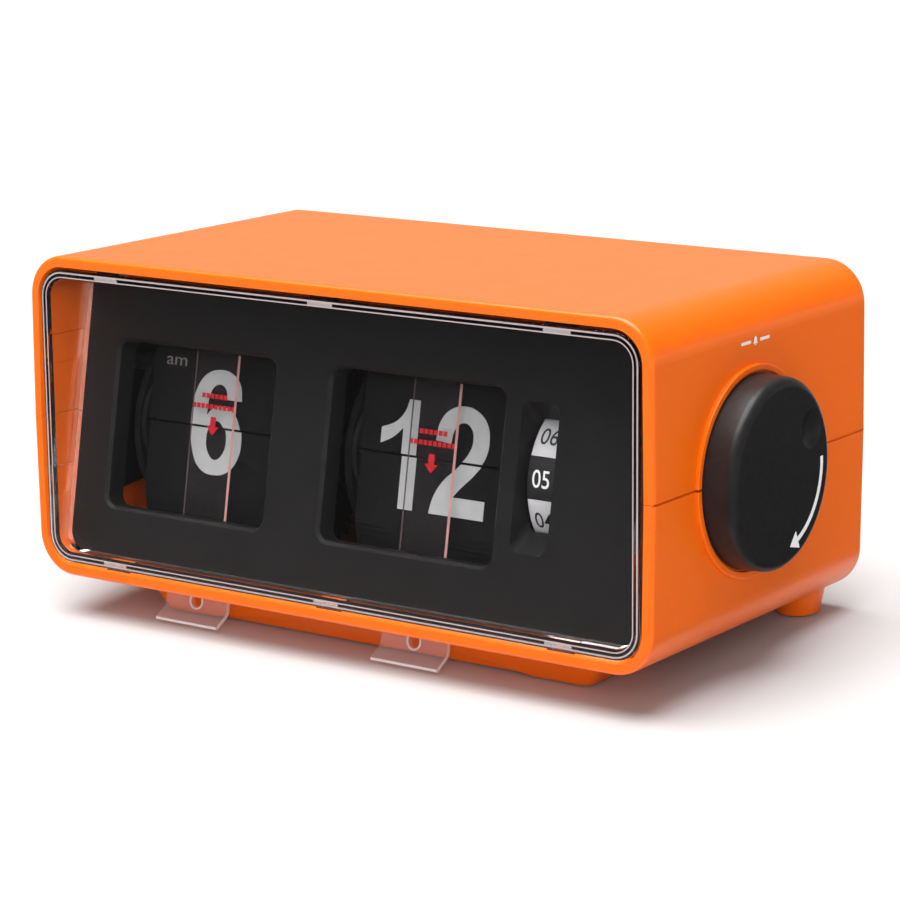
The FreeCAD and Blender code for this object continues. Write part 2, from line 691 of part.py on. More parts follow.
def drum(x, bore, boss_x):
    """Spool with two discs, each with a ring groove for the leaf pins."""
    inner = (x[0] - 0.25, x[1] + 0.25)
    outer = (inner[0] - DISC_THICK, inner[1] + DISC_THICK)
    discs = [rod(DISC_R, (outer[0], inner[0]), DRUM), rod(DISC_R, (inner[1], outer[1]), DRUM)]
    body = fused([tube(HUB_R, HUB_R - HUB_WALL, outer, DRUM), rod(BOSS_R, boss_x, DRUM)] + discs)
    for groove_x in ((inner[0] - GROOVE_CUT, inner[0] + 0.1), (inner[1] - 0.1, inner[1] + GROOVE_CUT)):
        body = body.cut(tube(GROOVE_R[1], GROOVE_R[0], groove_x, DRUM))
    return bored(body, bore, boss_x, DRUM)


def leaf(x, pin, fall_deg):
    """Leaf in the dial frame: pin at (w, v), hanging down at 0 and upright at 180."""
    w, v = pin
    card = block(x, (w - LEAF_THICK / 2, w + LEAF_THICK / 2), (v - LEAF_H + LEAF_TAIL, v + LEAF_TAIL))
    pins = [rod(PIN_R, (x[0] - 0.6, x[0] + 0.3), pin), rod(PIN_R, (x[1] - 0.3, x[1] + 0.6), pin)]
    solid = fused([card] + pins)
    solid.rotate(Vector(0, w, v), X_AXIS, fall_deg)
    return in_case(solid)


def leaf_pack(x, count):
    """Every leaf but the front upper one, carried round behind the drum's front."""
    leaves = []
    step = PACK_SWEEP_DEG / (count - 2)
    for number in range(count - 1):
        angle = PACK_FROM_DEG + step * number
        turn = math.radians(angle)
        deep = PIN_CIRCLE_R * (1 - math.cos(turn))
        if angle < 90:
            deep = max(deep, PACK_START + STACK_PITCH * number)
        if angle > 270:
            deep = max(deep, PACK_END + STACK_PITCH * (count - 1 - number))
        pin = (AXIS_W - PIN_CIRCLE_R + deep, AXIS_V - PIN_CIRCLE_R * math.sin(turn))
        fan = min(max((angle - FAN_FROM_DEG) / FAN_OVER_DEG, 0.0), 1.0)
        leaves.append(leaf(x, pin, 180.0 * fan))
    return Part.makeCompound(leaves)


def upper_leaf(x):
    """The front upper leaf, upright on its pins."""
    return leaf(x, (AXIS_W - PIN_CIRCLE_R, AXIS_V + UPPER_LEAF_LIFT), 180.0)


def catch_spring(x):
    """Thin spring finger behind the dial that steadies the top of the upper leaf."""
    middle = (x[0] + x[1]) / 2
    wide = (middle - SPRING_HALF_W, middle + SPRING_HALF_W)
    foot = block(wide, (DIAL_THICK, SPRING_W), (SPRING_V[1] - SPRING_THICK, SPRING_V[1]))
    finger = block(wide, (SPRING_W - SPRING_THICK, SPRING_W), SPRING_V)
    return in_case(fused([foot, finger]))


# ---- gears ----

def involute(angle):
    """Involute function of a pressure angle in radians."""
    return math.tan(angle) - angle


def gear(teeth, module, x, centre, bore, phase_deg):
    """Spur gear with stub involute teeth; phase is the angle of one tooth."""
    pressure = math.radians(PRESSURE_DEG)
    pitch_r = module * teeth / 2
    base_r = pitch_r * math.cos(pressure)
    tip_r = pitch_r + ADDENDUM * module
    root_r = pitch_r - DEDENDUM * module
    half = math.pi / (2 * teeth) * (1 - BACKLASH) + involute(pressure)
    flank = []
    for radius in (root_r, max(root_r, base_r), pitch_r, (pitch_r + tip_r) / 2, tip_r):
        reach = max(radius, base_r)
        flank.append((radius, half - involute(math.acos(base_r / reach))))
    if base_r <= root_r:
        flank = flank[1:]
    points = []
    for tooth in range(teeth):
        middle = math.radians(phase_deg) + 2 * math.pi * tooth / teeth
        for side, run in ((-1, flank), (1, flank[::-1])):
            for radius, offset in run:
                turn = middle + side * offset
                points.append((x[0], centre[0] + radius * math.cos(turn),
                               centre[1] + radius * math.sin(turn)))
    return bored(prism(points, (x[1] - x[0], 0, 0)), bore, x, centre)


def mesh_phase(phase_deg, teeth, direction_deg, next_teeth):
    """Phase of the next gear so that its gap meets a tooth of this one."""
    lead = (direction_deg - phase_deg) % (360.0 / teeth)
    return direction_deg + 180 + lead * teeth / next_teeth + 180.0 / next_teeth


IDLER_PHASE = mesh_phase(DRIVE_ANGLE, DRIVE_GEAR, DRIVE_ANGLE, IDLER_GEAR)
MOTOR_PHASE = mesh_phase(IDLER_PHASE, IDLER_GEAR, DRIVE_ANGLE, MOTOR_PINION)
TRANSFER_PHASE = mesh_phase(0, FIRST_PINION, 0, FIRST_GEAR)
HOUR_PHASE = mesh_phase(TRANSFER_PHASE, SECOND_PINION, 180, SECOND_GEAR)
SPINDLE_PHASE = mesh_phase(SPINDLE_ANGLE, SET_GEAR, SPINDLE_ANGLE, SET_PINION)


def main_shaft():
    """Shaft through the drums, running in the left and right frame plates."""
    return rod(SHAFT_R, (SHAFT_LEFT_X, RIGHT_PLATE_X[1] - 0.5), DRUM)


def shaft_clips():
    """Spring clips on the main shaft."""
    clips = []
    for x in CLIP_AT_X:
        ring = tube(CLIP_R, SHAFT_R, (x, x + CLIP_THICK), DRUM)
        mouth = block((x - OVER, x + 2 * OVER), (DRUM[0] - CLIP_MOUTH, DRUM[0] + CLIP_MOUTH),
                      (DRUM[1], DRUM[1] + 2 * CLIP_R))
        clips.append(ring.cut(mouth))
    return Part.makeCompound(clips)


def transfer_gear():
    """Large gear and small pinion on one tube, between the minute and hour drums."""
    bore = TRANSFER_AXLE_R + RUNNING
    large = gear(FIRST_GEAR, FIRST_MODULE, LARGE_TRANSFER_X, TRANSFER, bore, TRANSFER_PHASE)
    small = gear(SECOND_PINION, SECOND_MODULE, SMALL_TRANSFER_X, TRANSFER, bore, TRANSFER_PHASE)
    return fused([large, small, tube(SLEEVE_R, bore, SLEEVE_X, TRANSFER)])


def transfer_axle():
    """Fixed pin of the transfer gear, pressed in the centre plate."""
    pin = rod(TRANSFER_AXLE_R, (TRANSFER_AXLE_X, CENTRE_PLATE_X[1]), TRANSFER)
    collar = rod(COLLAR_R, (SLEEVE_X[1] + 0.2, CENTRE_PLATE_X[0]), TRANSFER)
    return fused([pin, collar])


def idler_axle():
    """Fixed pin of the idler, pressed in the right plate."""
    pin = rod(IDLER_AXLE_R, (IDLER_AXLE_X, RIGHT_PLATE_X[1]), IDLER)
    collar = rod(COLLAR_R, (DRIVE_GEAR_X[1] + 0.3, RIGHT_PLATE_X[0]), IDLER)
    return fused([pin, collar])


def motor_rotor():
    """Motor shaft with its pinion."""
    pinion = gear(MOTOR_PINION, DRIVE_MODULE, MOTOR_PINION_X, MOTOR, MOTOR_SHAFT_R, MOTOR_PHASE)
    return fused([pinion, rod(MOTOR_SHAFT_R, (MOTOR_PINION_X[0], MOTOR_SHAFT_END_X), MOTOR)])


def motor_body():
    """Flat round motor on the right plate, with two fixing ears."""
    face = RIGHT_PLATE_X[1]
    thick, half, reach = MOTOR_EAR
    can = rod(MOTOR_R, (face, MOTOR_END_X), MOTOR)
    can = can.makeFillet(1.0, at_level(can, 0, MOTOR_END_X))
    ears = rounded_block((face, face + thick), (MOTOR[0] - half, MOTOR[0] + half),
                         (MOTOR[1] - reach, MOTOR[1] + reach), half - 0.5, axis=0)
    room = rod(MOTOR_SHAFT_R + RUNNING, (face - OVER, MOTOR_SHAFT_END_X + 0.5), MOTOR)
    return fused([can, ears]).cut(room)


def dimple_edge(solid, face, spot):
    """The edge of the finger dimple in the face of a knob."""
    reach = math.sqrt(2 * DIMPLE_BALL_R * DIMPLE_DEEP)
    found = []
    for edge in at_level(solid, 0, face):
        box = edge.BoundBox
        if box.YLength < 2 * reach and abs(box.Center.y - spot[0]) < 1 and abs(box.Center.z - spot[1]) < 1:
            found.append(edge)
    return found


def set_knob(side, dimple):
    """Deep round knob with a rounded front edge, hollow behind."""
    base, face = KNOB_BASE_X, KNOB_FACE_X
    web = face - KNOB_WEB
    bore_r = KNOB_R - KNOB_WALL
    outline = [(0, face), (KNOB_R - KNOB_DRAFT, face), (KNOB_R, base), (bore_r, base), (bore_r, web),
               (KNOB_HUB_R, web), (KNOB_HUB_R, base), (0, base)]
    points = [Vector(x, radius, 0) for radius, x in outline]
    section = Part.Face(Part.makePolygon(points + points[:1]))
    solid = section.revolve(Vector(0, 0, 0), X_AXIS, 360)
    solid = solid.makeFillet(KNOB_ROUND, at_level(solid, 0, face))
    solid.translate(Vector(0, SPINDLE[0], SPINDLE[1]))
    solid = solid.cut(rod(SPINDLE_R, (base - OVER, SPINDLE_END_X), SPINDLE))
    if dimple:
        spot = polar(SPINDLE, *DIMPLE_AT)
        height = face + DIMPLE_BALL_R - DIMPLE_DEEP
        ball = Part.makeSphere(DIMPLE_BALL_R, Vector(height, spot[0], spot[1]))
        solid = solid.cut(ball)
        solid = solid.makeFillet(DIMPLE_ROUND, dimple_edge(solid, face, spot))
    if side < 0:
        solid = solid.mirror(Vector(0, 0, 0), X_AXIS)
    return solid


def spindle(x, pinion_x, tail):
    """Knob spindle with the setting pinion at its inner end."""
    pinion = gear(SET_PINION, SET_MODULE, pinion_x, SPINDLE, SPINDLE_TAIL_R, SPINDLE_PHASE)
    return fused([pinion, rod(SPINDLE_R, x, SPINDLE), rod(SPINDLE_TAIL_R, tail, SPINDLE)])


def set_gear(x, bore):
    """Gear on the drum axis driven by a knob spindle."""
    return gear(SET_GEAR, SET_MODULE, x, DRUM, bore, SPINDLE_ANGLE)


def alarm_drum():
    """Cup-shaped drum that carries the twelve alarm hours on its rim."""
    rim = tube(ALARM_DRUM_R, ALARM_DRUM_R - ALARM_RIM, ALARM_DRUM_X, DRUM)
    ends = at_level(rim, 0, ALARM_DRUM_X[0]) + at_level(rim, 0, ALARM_DRUM_X[1])
    rim = rim.makeFillet(0.4, ends)
    web = rod(ALARM_DRUM_R - 1.0, ALARM_WEB_X, DRUM)
    body = fused([rim, web, rod(ALARM_BOSS_R, ALARM_BOSS_X, DRUM)])
    return bored(body, SHAFT_R + RUNNING, ALARM_BOSS_X, DRUM)


def alarm_cam():
    """Cam beside the alarm gear, with the notch that lets the contact drop."""
    x = ALARM_CAM_X
    disc = tube(ALARM_CAM_R, ALARM_BOSS_R, x, DRUM)
    level = DRUM[1] + ALARM_CAM_R
    notch = block((x[0] - OVER, x[1] + OVER), (DRUM[0] - 0.9, DRUM[0] + 0.9),
                  (level - CAM_NOTCH_DEEP, level + OVER))
    return disc.cut(notch)


def alarm_contact():
    """Contact spring over the cam, on a block fixed to the end plate."""
    x = ALARM_CAM_X
    level = DRUM[1] + ALARM_CAM_R + 0.4
    finger = block((x[0] + 0.1, x[1] - 0.1), (DRUM[0] - 12, DRUM[0] + 3), (level, level + 0.3))
    holder = block((x[0] - 0.3, END_PLATE_X[0]), (DRUM[0] - 16, DRUM[0] - 11), (level - 2, level + 2))
    return fused([finger, holder])


def alarm_axle():
    """Fixed axle of the alarm drum, pressed in the right and end plates."""
    return rod(SHAFT_R, (RIGHT_PLATE_X[1] + 0.2, END_PLATE_X[1]), DRUM)


# ---- frame ----

def plate(x, foot_side):
    """Frame plate with a round front edge; some have a foot that is screwed down."""
    middle = to_case(PLATE_MIDDLE_W, AXIS_V)
    parts = [rod(PLATE_R, x, middle)]
    if foot_side:
        parts.append(block(x, PLATE_FOOT_Y, (PLATE_FOOT_Z[0], middle[1] - PLATE_R / 2)))
        edge = x[1] if foot_side > 0 else x[0]
        foot_x = sorted((edge, edge + foot_side * PLATE_FOOT_LONG))
        parts.append(block(foot_x, PLATE_FOOT_Y, PLATE_FOOT_Z))
    solid = fused(parts)
    for bar in TIE_BARS:
        solid = bored(solid, TIE_BAR_R, x, to_case(*bar))
    for spot in foot_screws():
        solid = solid.cut(post(SCREW_R, spot, (0, PLATE_FOOT_Z[1] + OVER)))
    return solid


def foot_screws():
    """Places (x, y) of the screws through the feet of the outer plates."""
    left = LEFT_PLATE_X[0] - PLATE_FOOT_LONG / 2
    right = END_PLATE_X[1] + PLATE_FOOT_LONG / 2
    return [(x, y) for x in (left, right) for y in FOOT_SCREW_Y]


def frame_left():
    """Left plate: bearings of the main shaft and of the time-setting spindle's tail."""
    solid = bored(plate(LEFT_PLATE_X, -1), SHAFT_R + RUNNING, LEFT_PLATE_X, DRUM)
    return bored(solid, SPINDLE_TAIL_R + RUNNING, LEFT_PLATE_X, SPINDLE)


def frame_centre():
    """Centre plate, cut back in front of the battery tray."""
    x = CENTRE_PLATE_X
    solid = bored(plate(x, 0), SHAFT_R + RUNNING, x, DRUM)
    solid = solid.cut(block((x[0] - OVER, x[1] + OVER), (TRAY_Y[0] - 0.8, CASE_D), (0, CASE_H)))
    return bored(solid, TRANSFER_AXLE_R, x, TRANSFER)


def frame_right():
    """Right plate: bearing of the main shaft, seat of the alarm axle and the motor."""
    x = RIGHT_PLATE_X
    solid = fused([plate(x, 0), rod(4.0, (x[0], MAIN_BEARING_END_X), DRUM)])
    solid = solid.cut(rod(SHAFT_R + RUNNING, (x[0] - OVER, x[1]), DRUM))
    solid = solid.cut(rod(SHAFT_R, (x[1] + 0.2, MAIN_BEARING_END_X + OVER), DRUM))
    solid = solid.cut(rod(SHAFT_R - 0.3, (x[0], x[1] + OVER), DRUM))
    solid = bored(solid, IDLER_AXLE_R, x, IDLER)
    return bored(solid, MOTOR_SHAFT_R + 0.5, x, MOTOR)


def frame_end():
    """End plate: seat of the alarm axle and bearing of the alarm spindle."""
    x = END_PLATE_X
    bearing_x = (x[0], END_BEARING_X)
    solid = fused([plate(x, 1), rod(4.2, bearing_x, SPINDLE)])
    return bored(bored(solid, SPINDLE_R + RUNNING, bearing_x, SPINDLE), SHAFT_R, x, DRUM)


def spindle_bracket():
    """Side plate on three pillars that carries the time-setting spindle."""
    x = BRACKET_X
    solid = prism([(x[0], y, z) for y, z in BRACKET_CORNERS], (x[1] - x[0], 0, 0))
    solid = solid.makeFillet(2.0, along(solid, 0))
    pillars = [rod(PILLAR_R, (x[1] - 0.5, LEFT_PLATE_X[0]), spot) for spot in BRACKET_PILLARS]
    return bored(fused([solid] + pillars), SPINDLE_R + RUNNING, x, SPINDLE)


def tie_bars():
    """Bars that hold the frame plates apart."""
    x = (LEFT_PLATE_X[0], END_PLATE_X[1])
    return Part.makeCompound([rod(TIE_BAR_R, x, to_case(*bar)) for bar in TIE_BARS])


def frame_screws():
    """Screws through the feet of the outer plates."""
    top = PLATE_FOOT_Z[1]
    head = (FOOT_HEAD[0], top, top + FOOT_HEAD[1])
    return Part.makeCompound([screw(spot, head, (1.6, top)) for spot in foot_screws()])


# ---- transit strips ----

def strip_film(x):
    """Clear film between the dial and the leaves, down through the case floor."""
    film = block(x, (STRIP_W - STRIP_THICK / 2, STRIP_W + STRIP_THICK / 2), (STRIP_FOOT_V, STRIP_TOP_V))
    return in_case(film)


def along_x_at(shape, spot):
    """Straight edges along X that run through (y, z)."""
    def near(edge):
        point = edge.Vertexes[0].Point
        return abs(point.y - spot[0]) < 0.01 and abs(point.z - spot[1]) < 0.01
    return [edge for edge in along(shape, 0) if near(edge)]


def strip_tab(x):
    """Thicker pull tab under the case, its end bent forwards, with a round eye."""
    wide = (x[0] - TAB_MARGIN, x[1] + TAB_MARGIN)
    back = STRIP_W + STRIP_THICK / 2
    front = STRIP_W - TAB_THICK
    forwards, down = TAB_LIP
    side = [(front, STRIP_FOOT_V), (front, TAB_BEND_V), (front - forwards, TAB_BEND_V - down),
            (front - forwards + 0.4, TAB_BEND_V - down - 0.9), (back, TAB_BEND_V - 0.4),
            (back, STRIP_FOOT_V)]
    tab = prism([(wide[0], w, v) for w, v in side], (wide[1] - wide[0], 0, 0))
    for radius, bend in zip(TAB_ROUND, (side[1], side[4])):
        tab = tab.makeFillet(radius, along_x_at(tab, bend))
    eye_spot = Vector((wide[0] + wide[1]) / 2, front - OVER, STRIP_FOOT_V - TAB_EYE_DOWN)
    return in_case(tab.cut(pin_back(TAB_EYE_R, eye_spot, 4 * TAB_THICK)))


# ---- battery, switch, buzzer, board ----

def battery_cell():
    """Round dry cell lying along the back of the case."""
    end = CELL_LONG / 2
    body = rod(CELL_R, (-end, end), CELL_AT)
    body = body.makeFillet(1.2, at_level(body, 0, -end) + at_level(body, 0, end))
    nub = rod(CELL_NUB[0], (end - OVER, end + CELL_NUB[1]), CELL_AT)
    return fused([body, nub])


def battery_tray():
    """Tray round the cell, open towards the battery door."""
    solid = block((-TRAY_X, TRAY_X), TRAY_Y, TRAY_Z)
    inner = block((-TRAY_X + TRAY_WALL, TRAY_X - TRAY_WALL), (TRAY_Y[0] + TRAY_WALL, TRAY_Y[1] + OVER),
                  (TRAY_Z[0] + TRAY_WALL, TRAY_Z[1] - TRAY_WALL))
    return solid.cut(inner)


def battery_contacts():
    """Flat contact at one end of the cell and a coil spring at the other."""
    wall = TRAY_X - TRAY_WALL
    end = CELL_LONG / 2
    y = (CELL_AT[0] - CONTACT_HALF, CELL_AT[0] + CONTACT_HALF)
    z = (CELL_AT[1] - CONTACT_HALF, CELL_AT[1] + CONTACT_HALF)
    flat = block((wall - CONTACT_THICK, wall), y, z)
    bump = rod(2.5, (end + CELL_NUB[1] + 0.3, wall), CELL_AT)
    back = block((-wall, -wall + CONTACT_THICK), y, z)
    pitch = (wall - end - CONTACT_THICK - 1.1) / SPRING_TURNS
    rings = []
    for turn in range(SPRING_TURNS):
        spot = Vector(-wall + 1.0 + turn * pitch, *CELL_AT)
        rings.append(Part.makeTorus(SPRING_R - SPRING_TAPER * turn, SPRING_WIRE_R, spot, X_AXIS))
    return Part.makeCompound([fused([flat, bump]), back] + rings)


def battery_door():
    """Door over the cell, hinged on two pins along its lower edge."""
    half = DOOR_THICK / 2
    axis = (DOOR_AXIS_Y, DOOR_Z[0])
    y = (DOOR_AXIS_Y - half, DOOR_AXIS_Y + half)
    x = (-DOOR_HALF_W, DOOR_HALF_W)
    pins = rod(DOOR_PIN_R, (x[0] - DOOR_PIN_LONG, x[1] + DOOR_PIN_LONG), axis)
    solid = fused([block(x, y, DOOR_Z), rod(half, x, axis), pins])
    half_w, deep, low, high = DOOR_NOTCH
    notch = rounded_block((-half_w, half_w), (y[1] - deep, y[1] + OVER),
                          (DOOR_Z[1] - low, DOOR_Z[1] - high), 1.5)
    return solid.cut(notch)


def alarm_switch_slider():
    """Slide button of the alarm switch; the base runs behind the wall."""
    inner = CASE_D - WALL
    left = SWITCH_X - SWITCH_TRAVEL + 0.3
    wide, half = STEM
    base = block((left - 2, left + wide + 2), (inner - 1.5, inner - 0.3), (SWITCH_Z - 3.5, SWITCH_Z + 3.5))
    stem = block((left, left + wide), (inner - OVER, CASE_D - 0.3), (SWITCH_Z - half, SWITCH_Z + half))
    solid = fused([base, stem])
    for number in range(STEM_RIBS):
        x = left + wide / 2 + STEM_RIB_PITCH * (number - 1)
        solid = solid.cut(block((x - 0.3, x + 0.3), (CASE_D - 0.8, CASE_D), (SWITCH_Z - 3, SWITCH_Z + 3)))
    return solid


def alarm_switch_housing():
    """Switch behind the slide button."""
    inner = CASE_D - WALL
    body = block((SWITCH_X - 9, SWITCH_X + 9), (inner - 8, inner - 1.8), (SWITCH_Z - 5, SWITCH_Z + 5))
    legs = [block((SWITCH_X + dx - 0.4, SWITCH_X + dx + 0.4), (inner - 11, inner - 7.5),
                  (SWITCH_Z - 0.3, SWITCH_Z + 0.3)) for dx in (-5, 0, 5)]
    return fused([body] + legs)


def buzzer():
    """Round sounder in its collar behind the slots, with a vent in its rear face."""
    spot = Vector(BUZZER_AT[0], CASE_D - WALL - BUZZER_LONG - 0.3, BUZZER_AT[1])
    can = pin_back(BUZZER_R, spot, BUZZER_LONG)
    can = can.makeFillet(0.8, at_level(can, 1, spot.y))
    return can.cut(pin_back(1.2, spot + Vector(0, BUZZER_LONG - 2, 0), 3))


def circuit_board():
    """Board on four posts at the left rear."""
    return rounded_block(BOARD_X, BOARD_Y, BOARD_Z, 1.5, axis=2)


def board_components():
    """Timing chip, crystal can and two capacitors on the board."""
    top = BOARD_Z[1]
    radius, tall = CAPACITOR_SIZE
    chip = [block(CHIP_X, CHIP_Y, (top, top + CHIP_HIGH))]
    for number in range(CHIP_LEGS):
        left = CHIP_X[0] + CHIP_LEG_PITCH * number
        chip.append(block((left, left + 0.6), (CHIP_Y[0] - 1.4, CHIP_Y[1] + 1.4), (top, top + 0.4)))
    crystal = rod(CRYSTAL_R, (-64, -56), (70.5, top + CRYSTAL_R))
    capacitors = [post(radius, spot, (top, top + tall)) for spot in CAPACITORS]
    return Part.makeCompound([fused(chip), crystal] + capacitors)


def build():
    """Every sub-part by name, in the case frame."""
    body = case_body()
    minute_drum_x = (MINUTE_LEAF_X[0] - 1.45, MINUTE_LEAF_X[1] + 1.45)
    return {
        "upper_shell": upper_shell(body),
        "lower_shell": lower_shell(body),
        "front_lens": front_lens(),
        "dial_panel": dial_panel(),
        "rubber_pads": rubber_pads(),
        "case_screws": case_screws(),
        "frame_left": frame_left(),
        "frame_centre": frame_centre(),
        "frame_right": frame_right(),
        "frame_end": frame_end(),
        "spindle_bracket": spindle_bracket(),
        "tie_bars": tie_bars(),
        "frame_screws": frame_screws(),
        "main_shaft": main_shaft(),
        "shaft_clips": shaft_clips(),
        "minute_drum": drum(MINUTE_LEAF_X, SHAFT_R, minute_drum_x),
        "minute_pinion": gear(FIRST_PINION, FIRST_MODULE, MINUTE_PINION_X, DRUM, SHAFT_R, 0),
        "drive_gear": gear(DRIVE_GEAR, DRIVE_MODULE, DRIVE_GEAR_X, DRUM, SHAFT_R, DRIVE_ANGLE),
        "time_set_gear": set_gear(TIME_SET_GEAR_X, SHAFT_R),
        "time_set_spindle": spindle((-SPINDLE_END_X, TIME_PINION_X[0]), TIME_PINION_X, TIME_TAIL_X),
        "time_set_knob": set_knob(-1, False),
        "hour_drum": drum(HOUR_LEAF_X, SHAFT_R + RUNNING, HOUR_BOSS_X),
        "hour_gear": gear(SECOND_GEAR, SECOND_MODULE, HOUR_GEAR_X, DRUM, BOSS_R, HOUR_PHASE),
        "transfer_gear": transfer_gear(),
        "transfer_axle": transfer_axle(),
        "idler_gear": gear(IDLER_GEAR, DRIVE_MODULE, DRIVE_GEAR_X, IDLER, IDLER_AXLE_R + RUNNING,
                           IDLER_PHASE),
        "idler_axle": idler_axle(),
        "motor_rotor": motor_rotor(),
        "motor_body": motor_body(),
        "hour_leaf_pack": leaf_pack(HOUR_LEAF_X, HOUR_LEAVES),
        "minute_leaf_pack": leaf_pack(MINUTE_LEAF_X, MINUTE_LEAVES),
        "hour_upper_leaf": upper_leaf(HOUR_LEAF_X),
        "minute_upper_leaf": upper_leaf(MINUTE_LEAF_X),
        "hour_catch_spring": catch_spring(HOUR_LEAF_X),
        "minute_catch_spring": catch_spring(MINUTE_LEAF_X),
        "alarm_axle": alarm_axle(),
        "alarm_drum": alarm_drum(),
        "alarm_gear": set_gear(ALARM_GEAR_X, ALARM_BOSS_R),
        "alarm_cam": alarm_cam(),
        "alarm_contact": alarm_contact(),
        "alarm_spindle": spindle((ALARM_PINION_X[1], SPINDLE_END_X), ALARM_PINION_X, ALARM_PINION_X),
        "alarm_set_knob": set_knob(1, True),
        "alarm_switch_slider": alarm_switch_slider(),
        "alarm_switch_housing": alarm_switch_housing(),
        "buzzer": buzzer(),
        "circuit_board": circuit_board(),
        "board_components": board_components(),
        "battery_cell": battery_cell(),
        "battery_tray": battery_tray(),
        "battery_contacts": battery_contacts(),
        "battery_door": battery_door(),
        "hour_strip_film": strip_film(HOUR_STRIP_X),
        "hour_strip_tab": strip_tab(HOUR_STRIP_X),
        "minute_strip_film": strip_film(MINUTE_STRIP_X),
        "minute_strip_tab": strip_tab(MINUTE_STRIP_X),
    }


os.makedirs("parts", exist_ok=True)
for name, shape in build().items():
    save(name, shape)
    print(name, len(shape.Solids), round(shape.Volume, 1), shape.isValid())
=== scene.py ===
import json
import math

import bmesh
import bpy
from mathutils import Matrix, Vector


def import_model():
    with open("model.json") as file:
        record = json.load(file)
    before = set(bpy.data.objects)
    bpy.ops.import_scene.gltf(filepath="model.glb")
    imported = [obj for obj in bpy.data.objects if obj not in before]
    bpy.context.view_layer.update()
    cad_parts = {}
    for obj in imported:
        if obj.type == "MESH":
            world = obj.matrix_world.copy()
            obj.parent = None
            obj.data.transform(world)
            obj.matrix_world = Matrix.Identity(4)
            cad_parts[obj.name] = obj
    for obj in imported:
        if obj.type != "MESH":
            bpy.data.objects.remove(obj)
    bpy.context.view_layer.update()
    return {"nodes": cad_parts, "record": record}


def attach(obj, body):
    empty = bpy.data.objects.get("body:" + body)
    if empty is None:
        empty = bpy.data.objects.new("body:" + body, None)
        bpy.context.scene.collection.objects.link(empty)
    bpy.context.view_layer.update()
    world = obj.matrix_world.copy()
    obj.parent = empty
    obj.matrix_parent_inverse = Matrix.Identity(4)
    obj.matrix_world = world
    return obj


# Looks of the flip number clock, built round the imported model.
# Lengths in the tables below are millimetres; every mesh is turned into metres in the row frame.
# Case frame: X right, Y back from the front rim, Z up from the underside of the case.
# Dial frame: the same X, Y square into the dial face, Z up along it.

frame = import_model()

MM = 0.001
LEAN = math.radians(3.2)           # the clock leans back on its feet
TILT = math.radians(10.44)         # slope of the dial in the case
DIAL_FOOT = 5.13                   # dial face behind the rim at the underside of the case
ORIGIN_Y = 50.619                  # row origin behind the rim
LIFT = 10.695                      # underside of the rim above the table

STAND = Matrix.Scale(MM, 4) @ Matrix.Translation((0, -ORIGIN_Y, LIFT)) @ Matrix.Rotation(-LEAN, 4, "X")
DIAL = STAND @ Matrix.Translation((0, DIAL_FOOT, 0)) @ Matrix.Rotation(-TILT, 4, "X")
FACING = Matrix.Rotation(math.radians(90), 4, "X")     # a drawing in XY stands up, facing -Y

# Drums and leaves, in the dial frame.
LEAF_W = 9.7
LEAF_AXIS_V = 40.15
LEAF_HALF = 0.15
LOWER_LEAF_W = 10.15
NEXT_LEAF_W = 10.24
UPPER_CUT = 39.85
LOWER_CUT = 39.25
NEXT_CUT = 40.2
INK = 0.02                         # thickness of a printed mark
HOUR_LEFT = (-57.1,)               # left edges of the figures
HOUR_FOOT = 27.9
MINUTE_LEFT = (1.0, 16.2)
MINUTE_FOOT = 26.8
FIGURE_TALL = 26.0
HALF_DAY_AT = (-63.1, 53.7)

# Transit strips, in the dial frame: film front, rows of dashes (width, count, height), arrow.
FILM_FRONT_W = 7.475
FILM_V = (-1.0, 58.0)
DASH_TALL = 1.15
DASH_SHARE = 0.78
DASH_ROWS = ((8.2, 6, 45.2), (13.6, 10, 42.6))
ARROW_V = (40.7, 38.3, 36.2)       # tail, neck and tip
ARROW_HALF = (0.85, 1.9)           # half widths of shaft and head

# Pull tabs, in the dial frame: they reach past their film on both sides. Their outline is (W, V). These
# numbers place the painted highlights on the right end, the lower lip and the eye of each tab.
TAB_MARGIN = 2.7
TAB_PROFILE = [
    (6.6, -1.2, "v"), (6.6, -4.478, "v"), (6.45, -5.13, "a"), (6.058, -5.678, "v"), (3.2, -8.2, "v"),
    (3.6, -9.1, "v"), (6.807, -6.379, "v"), (7.47, -5.46, "a"), (7.725, -4.396, "v"), (7.725, -1.2, "v"),
]
TAB_LIP_W = 3.2
TAB_LIP_V = (-8.9, -8.3)
EYE_W = 6.55
EYE_V = -3.3
EYE_R = 1.9
EYE_ROUND = 0.25

# Clear front, in the case frame, and the painted highlights drawn on its edges and pads.
LENS_X = 86.4
LENS_Z = (3.3, 76.7)
LENS_R = 7.0
LENS_FRONT = 0.2
LENS_HIGHLIGHT_RINGS = (("lens_front_highlight", 0.55, 0.4), ("lens_inner_highlight", 1.7, 0.3))     # inset and width
LENS_PAD_X = (-65.0, 0.0, 65.0)
LENS_PAD_HALF = 3.6
LENS_PAD_TALL = 0.75
LENS_PAD_INSET = 0.95

# Alarm drum, in the case frame.
DRUM_Y = 33.88
DRUM_Z = 35.17
DRUM_R = 19.2
DRUM_X = (47.75, 58.25)
HOUR_STEP = 30.0
HOUR_SIZE = 5.85
HOUR_WIDTH = 0.86
HOUR_AT = (51.4, -2.12)            # middle and foot of an hour in its field
FIVE_AT = 8.8                      # angle of the hour 5 above the front of the drum

# Knobs and side labels, in the case frame.
KNOB_Y = 41.83
KNOB_Z = 39.40
KNOB_FACE = 98.2
ARROW_R = 17.6
ARROW_WIDE = 1.2
ARROW_HEAD = 2.3                   # half width of the head
ARROW_HEAD_DEG = 12.0
ALARM_LABEL_AT = (43.6, 67.9)      # Y and Z
TIME_LABEL_AT = (41.8, 68.6)

